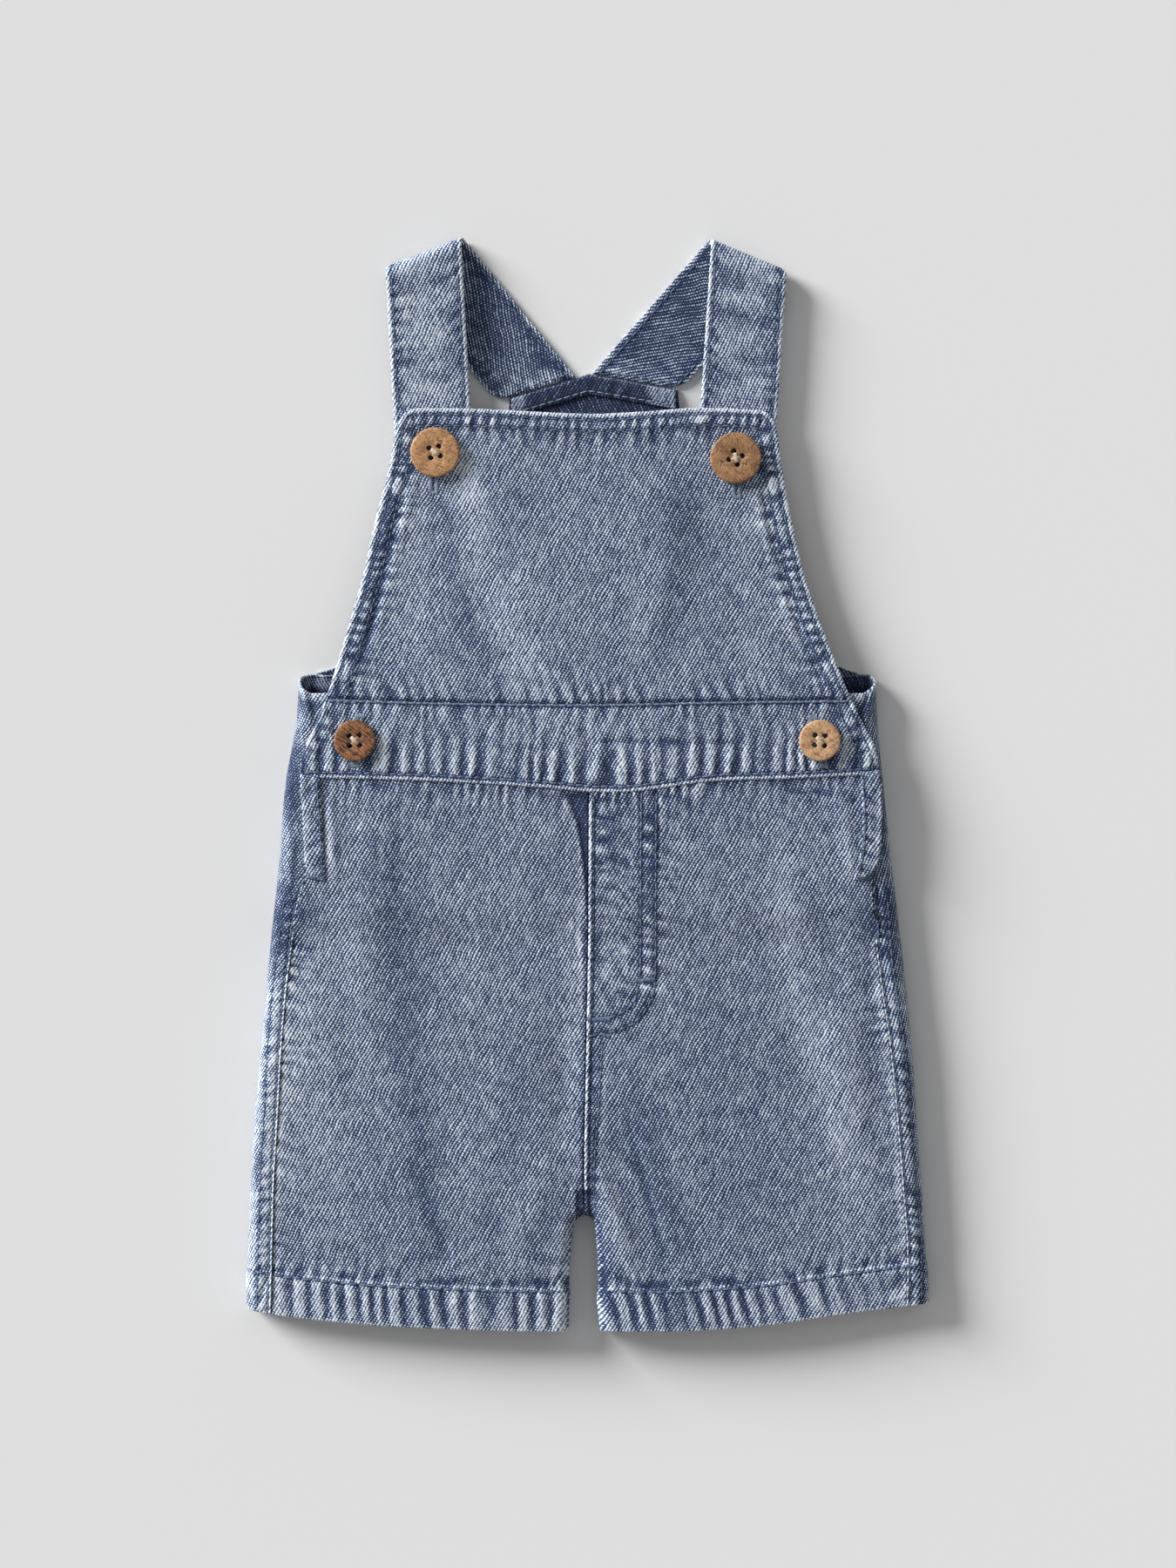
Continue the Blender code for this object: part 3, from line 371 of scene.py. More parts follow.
def denimMaterial(name, stops, look):
    made, tree, shader = newMaterial(name, 0.88, Sheen_Weight=0.1, Sheen_Roughness=0.45)
    cloth = addNode(tree, "ShaderNodeUVMap", uv_map="cloth")
    cloth = addNode(tree, "ShaderNodeMapping", {0: cloth, 3: (1000.0, 1000.0, 1000.0)})  # metres to mm
    waver = addNode(tree, "ShaderNodeTexNoise", {"Vector": cloth, "Scale": 0.11, "Detail": 2.0})
    waver = sums(tree, "MULTIPLY", sums(tree, "SUBTRACT", waver, 0.5), look["waver"])

    def ribs(angle, spacing):
        turned = math.radians(angle)
        across = (math.sin(turned) * look["lean"] / spacing, -math.cos(turned) / spacing, 0.0)
        addNode(tree, "ShaderNodeVectorMath", {0: cloth, 1: across}, operation="DOT_PRODUCT")
        place = tree.nodes[-1].outputs["Value"]
        turns = sums(tree, "MULTIPLY", sums(tree, "ADD", place, waver), 2.0 * math.pi)
        return sums(tree, "MULTIPLY_ADD", sums(tree, "SINE", turns, 0.0), 0.5, 0.5)

    def noise(scale, stretch=(1.0, 1.0, 1.0), detail=2.0, roughness=0.5):
        place = addNode(tree, "ShaderNodeMapping", {0: cloth, 3: stretch})
        made = addNode(tree, "ShaderNodeTexNoise",
                       {"Vector": place, "Scale": scale, "Detail": detail, "Roughness": roughness})
        return sums(tree, "SUBTRACT", made, 0.5)

    rib = ribs(look["ribAngle"], look["ribSpacing"])
    rib = addNode(tree, "ShaderNodeMapRange", {0: rib, 1: 0.12, 2: 0.88})
    cross = ribs(look["crossAngle"], look["crossSpacing"])
    counter = ribs(180.0 - look["ribAngle"], look["counterSpacing"])
    pairs = ribs(look["ribAngle"], look["ribSpacing"] * 2.0)
    dash = sums(tree, "MULTIPLY", rib, sums(tree, "MULTIPLY_ADD", cross, look["dash"], 1.0 - look["dash"]))
    addNode(tree, "ShaderNodeAttribute", attribute_name="tone")
    tone = tree.nodes[-1].outputs["Fac"]
    level = sums(tree, "MULTIPLY_ADD", dash, look["contrast"], look["brightness"] - 0.42 * look["contrast"])
    slub = noise(1.0, (1.1, 0.22, 1.0), 1.0)
    speckle = noise(0.75, detail=1.0)
    flecks = addNode(tree, "ShaderNodeMapping",
                     {0: cloth, 2: (0.0, 0.0, math.radians(30.0)), 3: (1.0, 0.45, 1.0)})
    flecks = addNode(tree, "ShaderNodeTexNoise", {"Vector": flecks, "Scale": 0.44, "Detail": 1.0})
    parts = {
        "slub": slub, "fleck": sums(tree, "SUBTRACT", flecks, 0.5), "weft": noise(1.0, (0.2, 1.0, 1.0), 1.0),
        "speckle": speckle, "cloud": noise(0.16, detail=3.0), "counter": sums(tree, "SUBTRACT", counter, 0.5),
        "pairs": sums(tree, "SUBTRACT", pairs, 0.5), "tone": tone,
    }
    for part, shade in parts.items():
        level = sums(tree, "ADD", level, sums(tree, "MULTIPLY", shade, look[part]))
    tree.links.new(rampOf(tree, level, stops), shader.inputs["Base Color"])
    relief = sums(tree, "ADD", sums(tree, "MULTIPLY", dash, 0.8), sums(tree, "MULTIPLY", slub, 0.6))
    relief = sums(tree, "ADD", relief, sums(tree, "MULTIPLY", speckle, 0.5))
    raised = addNode(tree, "ShaderNodeBump", {"Height": relief, "Distance": look["relief"], "Strength": 0.7})
    tree.links.new(raised, shader.inputs["Normal"])
    return made


washedStops = (
    (0.0, (0.006, 0.014, 0.056)), (0.2, (0.018, 0.044, 0.130)), (0.4, (0.074, 0.134, 0.248)),
    (0.6, (0.250, 0.320, 0.424)), (0.8, (0.525, 0.588, 0.668)), (1.0, (0.860, 0.880, 0.910)),
)
indigoStops = (
    (0.0, (0.003, 0.007, 0.028)), (0.3, (0.008, 0.019, 0.068)), (0.55, (0.028, 0.054, 0.145)),
    (0.8, (0.150, 0.200, 0.310)), (1.0, (0.420, 0.470, 0.540)),
)
# Degrees and mm for the ribs, then how strongly each part of the weave shows
washed = {"ribAngle": 60.0, "ribSpacing": 1.08, "crossAngle": -14.0, "crossSpacing": 0.92,
          "counterSpacing": 1.5, "lean": 1.0, "waver": 1.8, "dash": 0.6, "contrast": 1.0, "brightness": 0.458,
          "slub": 0.6, "weft": 0.35, "speckle": 0.5, "fleck": 0.5, "pairs": 0.2, "cloud": 0.25,
          "counter": 0.2, "tone": 0.46, "relief": 0.0002}
inside = dict(washed, contrast=0.8, brightness=0.44)
denim = denimMaterial("denim", washedStops, washed)
denimInside = denimMaterial("denimInside", indigoStops, inside)
denimUnder = denimMaterial("denimUnder", washedStops, dict(washed, lean=-1.0))


def threadMaterial(name, dark, light):
    made, tree, shader = newMaterial(name, 0.6, Sheen_Weight=0.2)
    addNode(tree, "ShaderNodeTexCoord")
    place = tree.nodes[-1].outputs["Object"]
    shade = addNode(tree, "ShaderNodeTexNoise", {"Vector": place, "Scale": 900.0, "Detail": 2.0})
    tree.links.new(rampOf(tree, shade, ((0.3, dark), (0.7, light))), shader.inputs["Base Color"])
    return made


blueThread = threadMaterial("blueThread", (0.048, 0.080, 0.155), (0.155, 0.215, 0.325))
paleThread = threadMaterial("paleThread", (0.120, 0.165, 0.245), (0.260, 0.325, 0.420))
creamThread = threadMaterial("creamThread", (0.420, 0.310, 0.190), (0.800, 0.690, 0.520))


# Cloth: a grid shaped to its points, given a wall by Solidify
def gridNormals(points, outward):
    normals = np.cross(np.gradient(points, axis=0, edge_order=2), np.gradient(points, axis=1, edge_order=2))
    return normals / np.maximum(np.linalg.norm(normals, axis=2, keepdims=True), 1e-9) * outward


def clothGrid(name, points, tone, grain):
    columns, rows = points.shape[:2]
    bpy.ops.mesh.primitive_grid_add(x_subdivisions=columns - 1, y_subdivisions=rows - 1, size=2.0)
    piece = bpy.context.object
    piece.name = piece.data.name = name
    mesh = piece.data
    flat = np.empty(len(mesh.vertices) * 3)
    mesh.vertices.foreach_get("co", flat)
    flat = flat.reshape(-1, 3)
    i = np.rint((flat[:, 0] + 1.0) / 2.0 * (columns - 1)).astype(int)
    j = np.rint((flat[:, 1] + 1.0) / 2.0 * (rows - 1)).astype(int)
    mesh.vertices.foreach_set("co", (points[i, j] * mm).ravel())
    mesh.attributes.new("tone", "FLOAT", "POINT").data.foreach_set("value", tone[i, j].astype(np.float32))
    corner = np.empty(len(mesh.loops), dtype=int)
    mesh.loops.foreach_get("vertex_index", corner)
    layer = mesh.uv_layers[0]
    layer.name = "cloth"
    layer.data.foreach_set("uv", (grain[i, j][corner] * mm).ravel())
    return piece, (i, j)


def finishPiece(piece, replaced):
    piece.data.shade_smooth()
    piece.select_set(False)
    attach(piece, "root")
    if replaced:
        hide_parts(replaced)


def weaveOnRim(mesh, outerCorners, outerFaces, thick):  # weave across the wall's narrow edge faces too
    corner = np.empty(len(mesh.loops), dtype=int)
    mesh.loops.foreach_get("vertex_index", corner)
    onRim = np.arange(len(corner)) >= mesh.polygons[2 * outerFaces].loop_start
    layer = mesh.uv_layers["cloth"]
    places = np.empty(2 * len(corner))
    layer.data.foreach_get("uv", places)
    places = places.reshape(-1, 2)
    places[onRim & (corner >= outerCorners)] += thick * mm
    layer.data.foreach_set("uv", places.ravel())


def makeCloth(name, points, total, grain, outward, replaced, thick, faces=None):
    lift, tone = total[0], np.clip(total[1], -1.0, 1.0)
    shaped = points + gridNormals(points, outward) * lift[..., None]
    piece, (i, j) = clothGrid(name, shaped, tone, grain)
    if outward < 0:
        piece.data.flip_normals()
    for face in faces or (denim, denimInside):
        piece.data.materials.append(face)
    thick = thick + np.zeros(points.shape[:2])
    wall = piece.modifiers.new("wall", "SOLIDIFY")
    wall.thickness = float(thick.max()) * mm
    wall.offset = -1.0
    wall.material_offset = 1
    group = piece.vertex_groups.new(name="thick")
    share = np.round(thick[i, j] / thick.max(), 2)
    for value in np.unique(share):
        group.add(np.nonzero(share == value)[0].tolist(), float(value), "REPLACE")
    wall.vertex_group = "thick"
    corners, faceCount = len(piece.data.vertices), len(piece.data.polygons)
    bpy.ops.object.modifier_apply(modifier="wall")
    weaveOnRim(piece.data, corners, faceCount, float(thick.max()))
    piece.vertex_groups.clear()
    finishPiece(piece, replaced)
    return piece


def unevenness(x, y, seed):  # the washed cloth's soft dents and its cloudy colour
    lift = 0.22 * patches(x, y, 34.0, seed) + 0.10 * patches(x, y, 13.0, seed + 1)
    lift += 0.04 * patches(x, y, 5.0, seed + 2)
    tone = 0.07 * patches(x, y, 30.0, seed + 3, 1.8) + 0.09 * patches(x, y, 9.0, seed + 4, 1.5)
    tone += 0.10 * patches(x, y, 3.4, seed + 5)
    return lift, tone


# Seams, in mm from their edges
seamRows = {"edge": 2.4, "inner": 6.5, "hem": 14.7, "bandLow": 2.3, "fellNear": 1.35, "fellFar": 5.5,
            "flyEdge": 2.0, "strap": 2.0, "yoke": 1.5, "armNear": 1.8, "armFar": 6.4, "endNear": 2.1,
            "endFar": 6.6, "armTop": 5.5, "bandHigh": 0.7, "facing": 1.3, "placket": 0.9}
sinking = {"depth": 0.3, "width": 0.55, "dark": 0.72, "darkWidth": 1.35}
puckers = {  # spacing, reach, slant, height of the crests, how much paler they are than the troughs
    "channel": (4.5, 3.2, 0.15, 0.30, 1.25), "besideEdge": (5.2, 5.5, 0.10, 0.20, 0.95),
    "hemLeft": (6.8, 11.0, 0.04, 0.34, 1.2), "hemRight": (6.8, 11.0, 0.28, 0.34, 1.2),
    "aboveHem": (4.8, 7.0, -0.2, 0.30, 0.7), "side": (5.6, 7.0, 0.3, 0.26, 0.55),
    "waist": (4.6, 8.5, 0.12, 0.28, 0.8), "fly": (6.4, 8.0, 0.06, 0.2, 0.25),
    "flyChannel": (6.0, 3.4, 0.2, 0.28, 0.9), "besideFly": (6.4, 6.0, 0.2, 0.2, 0.60),
    "inseam": (5.4, 4.5, 0.0, 0.2, 0.4), "centre": (7.0, 6.0, 0.0, 0.0, 0.22),
    "fell": (5.6, 4.0, 0.3, 0.22, 0.6), "backHem": (6.4, 13.0, 0.4, 0.25, 0.5),
    "bandLow": (6.6, 12.0, -0.06, 0.42, 1.3), "bandHigh": (5.2, 7.0, 0.1, 0.26, 0.8),
    "bandEnd": (5.6, 3.2, 0.3, 0.24, 0.8), "bibFoot": (5.4, 8.0, 0.25, 0.28, 0.75),
    "armhole": (5.4, 5.0, 0.2, 0.25, 0.5), "yoke": (6.0, 7.0, 0.0, 0.0, 0.4),
    "facing": (4.6, 5.0, 0.2, 0.18, 0.35), "strap": (5.4, 5.0, 0.3, 0.24, 0.6),
    "placket": (5.0, 4.0, 0.4, 0.2, 0.6),
}


def sink(total, away, share=1.0, dark=1.0, depth=None, width=None):  # a sewn row sinks in and stays dark
    depth, width = depth or sinking["depth"], width or sinking["width"]
    total[0] -= depth * bump(away, width) * share
    total[1] -= sinking["dark"] * bump(away, width * sinking["darkWidth"]) * dark * share


def pucker(total, kind, run, away, seed, share=1.0):
    spacing, reach, slant, height, pale = puckers[kind]
    crests = roping(run, away, spacing, reach, seed, slant) * share
    total[0] += height * crests
    total[1] += pale * crests


def worn(run, away, width):  # a folded edge rubbed pale, more in some places than in others
    patchy = 0.70 + 0.30 * patches(run, away, 7.0, 501) + 0.25 * patches(run, away, 2.4, 502)
    return patchy * (1.0 - smooth((away - width + 0.4) / 0.9))


def past(away, row, width):  # 0 as far as the row, 1 beyond it
    return smooth((away - row) / width)


def border(total, away, run, seed):  # a double-stitched turned edge, higher than the cloth inside it
    edge, inner = seamRows["edge"], seamRows["inner"]
    middle = (edge + inner) / 2
    sink(total, away - edge, dark=1.4)
    sink(total, away - inner, dark=1.4)
    pucker(total, "channel", run, away - middle, seed)
    pucker(total, "besideEdge", run, away - inner, seed + 5, past(away, inner, 0.8))
    total[0] += 0.55 * (1.0 - past(away, inner + 0.5, 1.2)) + turnedDown(away, 0.9)
    total[1] += 1.15 * worn(run, away, 1.6) - 0.10 * bump(away - middle, 2.5)
    total[1] -= 0.5 * smooth(patches(run, away, 3.4, seed + 9) * 1.5) * bump(away - inner - 3.0, 2.2)


wedge = (  # y, x of the cloth's edge where it dips beside the fly
    (-52.0, -0.6), (-44.0, -1.0), (-31.0, -2.0), (-19.0, -3.7), (-13.0, -4.9), (-8.0, -7.3), (-3.0, -9.5),
)
flyLines = {  # x, y of the two J rows, from the waist down
    "inner": ((19.6, -3.0), (19.3, -30.0), (19.2, -66.0), (18.4, -74.0), (16.6, -80.5), (13.0, -83.8),
              (8.0, -85.8), (0.2, -87.0)),
    "outer": ((25.0, -3.4), (24.8, -30.0), (24.6, -70.0), (23.4, -78.0), (20.2, -84.6), (16.0, -88.4),
              (9.6, -91.0), (0.2, -92.8)),
}
fly = {"footY": -93.0, "channelX": 22.3, "seamRow": 3.8, "seamTurn": 2.2, "seamTop": -93.5}
notch = {"y": -149.3, "left": -4.7, "right": 2.7, "paleX": 1.3}  # where the crotch seam has parted


def runAlong(path):  # how far along the path each of its places lies
    return np.concatenate([[0.0], np.cumsum(np.linalg.norm(np.diff(path, axis=0), axis=1))])


def along(points, step):  # evenly spaced places on the smooth curve through points
    points = np.array(points, dtype=float)
    padded = np.vstack([2 * points[0] - points[1], points, 2 * points[-1] - points[-2]])
    fine = []
    for k in range(len(points) - 1):
        p0, p1, p2, p3 = padded[k:k + 4]
        for t in np.linspace(0.0, 1.0, 24, endpoint=False):
            fine.append(0.5 * (2 * p1 + (p2 - p0) * t + (2 * p0 - 5 * p1 + 4 * p2 - p3) * t**2
                               + (3 * p1 - p0 - 3 * p2 + p3) * t**3))
    fine = np.array(fine + [points[-1]])
    run = runAlong(fine)
    at = np.linspace(0.0, run[-1], max(2, int(round(run[-1] / step)) + 1))
    return np.stack([np.interp(at, run, fine[:, k]) for k in range(fine.shape[1])], axis=1)


def distanceTo(points, x, y):  # to a curve; the second value is negative on its right as it runs
    line = along(points, 1.5)
    best = np.full(x.shape, 1e9)
    sign = np.ones(x.shape)
    for (x0, y0), (x1, y1) in zip(line, line[1:]):
        length = math.hypot(x1 - x0, y1 - y0)
        share = np.clip(((x - x0) * (x1 - x0) + (y - y0) * (y1 - y0)) / length**2, 0.0, 1.0)
        away = np.hypot(x - mix(x0, x1, share), y - mix(y0, y1, share))
        left = np.sign((x1 - x0) * (y - y0) - (y1 - y0) * (x - x0))
        nearer = away < best
        best = np.where(nearer, away, best)
        sign = np.where(nearer, left, sign)
    return best, sign


def legDetail(side, x, y):
    seed = 20 if side < 0 else 60
    hem, crotchY = seamRows["hem"], body["crotchY"]
    total = list(unevenness(x, y, seed))
    fromHem = y - curveAt(hemLine, x)
    fromTop = curveAt(waistSeams, x, 1) - y
    fromSide = np.abs(edgeX(y, x)) - np.abs(x)
    fromMiddle = side * (x - gapEdge(side, y))
    folds = foldsAt(x, y, smallFolds)
    total[0] += folds
    # the colour follows the folds, paler on crests and darker in troughs: painted fold highlight and shade
    total[1] += 0.45 * folds + 0.18 * foldsAt(x, y, largeFolds) + marksAndPaintedShadeAt(x, y)

    across = smooth((notch["right"] - x) / 0.8) * smooth((x - notch["left"]) / 0.8)
    parted = smooth((notch["y"] - y) / 0.8) * across
    total[0] -= 0.9 * parted
    # darker where the seam has parted, with a dark line along its top: painted shade in the recess and
    # painted shadow of the step; a pale strip at paleX
    total[1] += parted * (0.75 * bump(x - notch["paleX"], 0.7) - 0.65) - bump(y - notch["y"], 0.8) * across

    inHem = 1.0 - past(fromHem, hem, 0.8)
    sink(total, fromHem - hem)
    pucker(total, "hemLeft" if side < 0 else "hemRight", x, fromHem - 9.0, seed + 6, inHem)
    pucker(total, "aboveHem", x, fromHem - hem, seed + 8, 1.0 - inHem)
    total[0] += 0.7 * (1.0 - past(fromHem, hem + 0.4, 1.0)) + turnedDown(fromHem, 0.8)
    total[1] += worn(x, fromHem, 0.9) + 0.2 * bump(fromHem - 3.0, 4.0)
    total[1] += 0.45 * bump(fromHem - hem - 1.1, 0.5) + 0.3 * bump(fromHem - hem + 1.1, 0.5)
    blots = smooth(0.3 + patches(x, y, 3.4, seed + 11, 1.6) * 1.7)
    blotRow = hem + 2.7 + 0.9 * patches(x, y * 0.0, 5.3, seed + 10)
    total[1] -= 1.2 * bump(fromHem - blotRow, 1.4) * blots

    below = smooth((-56.0 - y) / 4.0)  # the side seam shows from here down
    pucker(total, "side", y, fromSide, seed + 12, below)
    total[0] -= 1.3 * smooth(-fromSide / 0.4) * below
    total[1] += 0.5 * bump(fromSide - 1.0, 1.2) * below
    creased = 0.7 + 0.6 * patches(x, y, 4.0, seed + 13)
    total[1] -= 0.55 * bump(y + 52.0, 12.0) * bump(fromSide, 5.0) * creased

    pucker(total, "waist", x, fromTop, seed + 14)
    total[0] -= 1.0 * smooth((-fromTop + 0.4) / 1.0)
    # a dark line just below the waistband's edge: painted shadow of the band
    total[1] -= 0.3 * bump(fromTop, 1.0)
    total[1] -= 0.5 * bump(fromTop - 2.6, 2.0) * smooth(0.1 + patches(x, y, 3.6, seed + 15, 0.7) * 1.6)

    if side > 0:
        total[0] += 0.45 * bump(fromMiddle - 0.9, 0.8) + turnedDown(fromMiddle, 0.8) * (y > crotchY)
        total[1] += worn(y, fromMiddle, 1.3) * (y > notch["y"])
        sink(total, fromMiddle - seamRows["flyEdge"], depth=0.35)
        flyDetail(total, x, y, fromMiddle, seed)
    else:
        # a dark strip where the left leg runs under the right leg's edge: painted shadow
        total[1] -= 0.55 * bump(fromMiddle, 1.3) * (y > crotchY)
        total[1] += 0.6 * bump(fromMiddle - 2.5, 4.0) * smooth((crotchY - y) / 4.0)
        fromWedge, top = x - curveAt(wedge, y), smooth((-3.4 - y) / 1.5)
        recess = smooth(fromWedge) * top * smooth((y + 52.0) / 14.0)
        total[0] -= 0.8 * recess
        # the recess beside the fly is darkened: painted shade; a paler line runs along its edge
        total[1] -= 0.95 * recess - 0.35 * bump(fromWedge + 1.0, 1.1) * top * smooth((y + 60.0) / 20.0)
        pucker(total, "centre", y, fromMiddle, seed + 16)
    return total


def flyDetail(total, x, y, fromMiddle, seed):
    inner, _ = distanceTo(flyLines["inner"], x, y)
    outer, outside = distanceTo(flyLines["outer"], x, y)
    inFly = smooth((0.6 - outer * outside) / 1.2) * smooth((y - fly["footY"]) / 1.0)
    sink(total, inner, dark=1.6)
    sink(total, outer, dark=1.6)
    pucker(total, "fly", y, fromMiddle - 5.0, seed + 16, inFly)
    pucker(total, "flyChannel", y, fromMiddle - fly["channelX"], seed + 17, inFly * smooth((y + 80.0) / 4.0))
    pucker(total, "besideFly", y, outer, seed + 18, (1.0 - inFly) * smooth((y + 84.0) / 6.0))
    total[0] += 0.35 * inFly
    total[1] += (0.45 * patches(x, y, 2.7, seed + 21, 0.6) - 0.06) * inFly
    lower = smooth(fly["seamTop"] - y) * smooth((y - body["crotchY"]) / 3.0)
    sink(total, fromMiddle - inseamRow(y), lower)
    pucker(total, "inseam", y, fromMiddle - 3.0, seed + 19, lower)


def inseamRow(y):  # how far the row below the fly lies from the centre seam
    return fly["seamRow"] + fly["seamTurn"] * smooth((y + 150.0) / 55.0)


def makeFrontLeg(side):
    word = "Left" if side < 0 else "Right"
    hemY, waistY, roll = body["hemY"], body["waistY"], body["crotchRoll"]
    nominal = spaced(hemY, waistY, 1.05, (
        (hemY, 1.2, 0.25), (hemY + seamRows["hem"] + 0.4, 1.4, 0.4), (body["crotchY"], 4.0, 0.55),
        (waistY, 1.4, 0.35)))
    flat = spaced(0.0, 1.0, 0.0105, ((0.0, 0.03, 0.0025),))
    flat = flat[flat < 0.999]
    angles = np.concatenate([np.zeros(len(flat)), np.linspace(0.0, 90.0, 11)])
    share = np.concatenate([flat, np.ones(11)])[:, None]
    y = nominal[None, :]
    column = 1 if side < 0 else 2

    def topLine(x):
        return curveAt(waistSeams, x, 1) + 1.6

    first = curveAt(frontEdge, y, column)
    edge = curveAt(frontEdge, legY(first, y, topLine(first), waistY), column)
    edge = edge + side * 1.8 * smooth((-56.0 - y) / 4.0)
    inner = gapEdge(side, y)
    x = np.where(angles[:, None] > 0.0, inner + side * roll * rollReach(angles[:, None], y),
                 mix(edge, inner + side * roll, share))
    y = legY(x, y, topLine(x), waistY) + 0.0 * x
    half = (frontHeight(x, y) - seamGap) / 2
    points = np.stack([x, y, half + seamGap + half * gapRoll(side, x, y)], axis=2)
    total = legDetail(side, x, y)
    upright = smooth((points[..., 2] / (2 * half) - 0.55) / 0.2)
    total[0] = total[0] * upright
    thick = clothThick + 0.7 * (1.0 - past(y - curveAt(hemLine, x), 15.0, 0.8))
    grain = np.stack([x + side * 3.0 * (1.0 - upright), y], axis=2)
    return makeCloth("frontLeg" + word, points, total, grain, -side, "front_leg_" + word.lower(),
                     thick)


def makeBackLeg(side):
    word = "Left" if side < 0 else "Right"
    seed = 100 if side < 0 else 140
    hemY, topY, roll, crotchRoll = body["hemY"], body["backTopY"], body["sideRoll"], body["crotchRoll"]
    nominal = spaced(hemY, topY, 1.2, (
        (hemY, 1.2, 0.3), (hemY + seamRows["hem"] + 0.4, 1.4, 0.45), (body["crotchY"], 4.0, 0.6),
        (topY, 1.2, 0.3)))
    y = nominal[None, :]
    column = 1 if side < 0 else 2
    inner = gapEdge(side, y)
    rollAngles, floorShares = np.linspace(90.0, 0.0, 10)[:-1], np.linspace(0.0, 1.0, 36)
    sideAngles, topShares = np.linspace(0.0, 180.0, 21)[1:], np.linspace(0.0, 1.0, 13)[1:]

    edgeY = legY(curveAt(sides, y, column), y, topY, topY)
    tangent = curveAt(sides, edgeY, column) - side * roll
    nearTop = smooth(y / topY)
    xs, ys, zs = [], [], []
    for angle in rollAngles:
        x = inner + side * crotchRoll * rollReach(angle, y)
        xs, ys, zs = xs + [x], ys + [legY(x, y, topY, topY)], zs + [None]
    for share in floorShares:
        x = mix(inner + side * crotchRoll, tangent, share)
        xs, ys, zs = xs + [x], ys + [legY(x, y, topY, topY)], zs + [None]
    for angle in sideAngles:
        turn = math.radians(angle)
        x = tangent + side * roll * math.sin(turn)
        yy = legY(x, y, topY, topY) - body["backTopDrop"] * nearTop * smooth(angle / 180.0) ** 2
        xs, ys = xs + [x], ys + [yy]
        zs.append(bodyHeight(tangent, yy) / 2 * (1.0 - math.cos(turn)))
    yTop = legY(tangent, y, topY, topY) - body["backTopDrop"] * nearTop
    seam = curveAt(frontEdge, yTop, column) + side * seamGap
    end = mix(seam, side * body["standX"], smooth((y - body["standY"] + 3.0) / 3.0))
    for share in topShares:
        x = mix(tangent, end, share)
        xs, ys, zs = xs + [x], ys + [yTop + 0.0 * x], zs + [bodyHeight(x, yTop)]
    x, y2 = np.vstack(xs), np.vstack(ys)
    half = (frontHeight(x, y2) - seamGap) / 2
    z = np.vstack([
        half[k] * (1.0 - gapRoll(side, x[k], y2[k])) if row is None else row for k, row in enumerate(zs)])
    points = np.stack([x, y2, z + floorGap], axis=2)

    steps = np.linalg.norm(np.diff(points, axis=0), axis=2)
    run = np.concatenate([np.zeros((1, x.shape[1])), np.cumsum(steps, axis=0)])
    grain = np.stack([-side * (run - run[len(rollAngles)]) - x[len(rollAngles)], y2], axis=2)
    total = backDetail(side, seed, x, y2, z, run)
    fromTop = topY - nominal[None, :] + 0.0 * x
    onTop = smooth((z - 3.0) / 4.0)
    armEdge = smooth((z - 1.0) / 2.0)
    inside = (1.0 - armEdge) * smooth((y2 - 20.0) / 8.0)  # what the armhole shows of the back's inner face
    sink(total, fromTop - seamRows["armTop"])
    total[0] += turnedDown(fromTop, 0.8)
    total[1] += armEdge * (0.75 * (1.0 - past(fromTop, 2.0, 1.0)) - 0.35 * bump(fromTop - 8.0, 5.0))
    mottled = (1.1 - 0.5 * side) * patches(x, y2, 2.6, seed + 9, 1.4)
    total[1] += inside * (-0.2 - 0.35 * side + mottled)
    slitX = side * mix(102.4, 100.0, (32.6 - y2) / 10.6)  # the side opening's edge beside the bib
    slit = onTop * smooth((y2 - 19.0) / 4.0)
    total[0] += slit * (0.5 * bump(x - slitX - side * 1.6, 1.2) - 0.9 * bump(x - slitX, 0.9))
    # a dark line along the slit: painted shade; a pale line beside it: its rubbed edge
    total[1] += slit * (0.4 * bump(x - slitX + side * 1.8, 1.0) - 0.9 * bump(x - slitX, 0.8))
    middle = (x - curveAt(centreSeam, y2)) * side
    seamShade = 0.5 * bump(middle - 1.0, 1.0) - 0.5 * bump(middle - 6.0, 0.7)
    total[1] += seamShade * (1.0 - onTop) * (y2 > body["crotchY"])
    thick = clothThick + 0.6 * (1.0 - past(y2 - curveAt(hemLine, x), 15.0, 0.8))
    total[0] = total[0] * onTop + (1.0 - onTop) * np.minimum(0.0, total[0] * 0.8 - 0.1)
    return makeCloth("backLeg" + word, points, total, grain, -side, "back_leg_" + word.lower(),
                     thick)


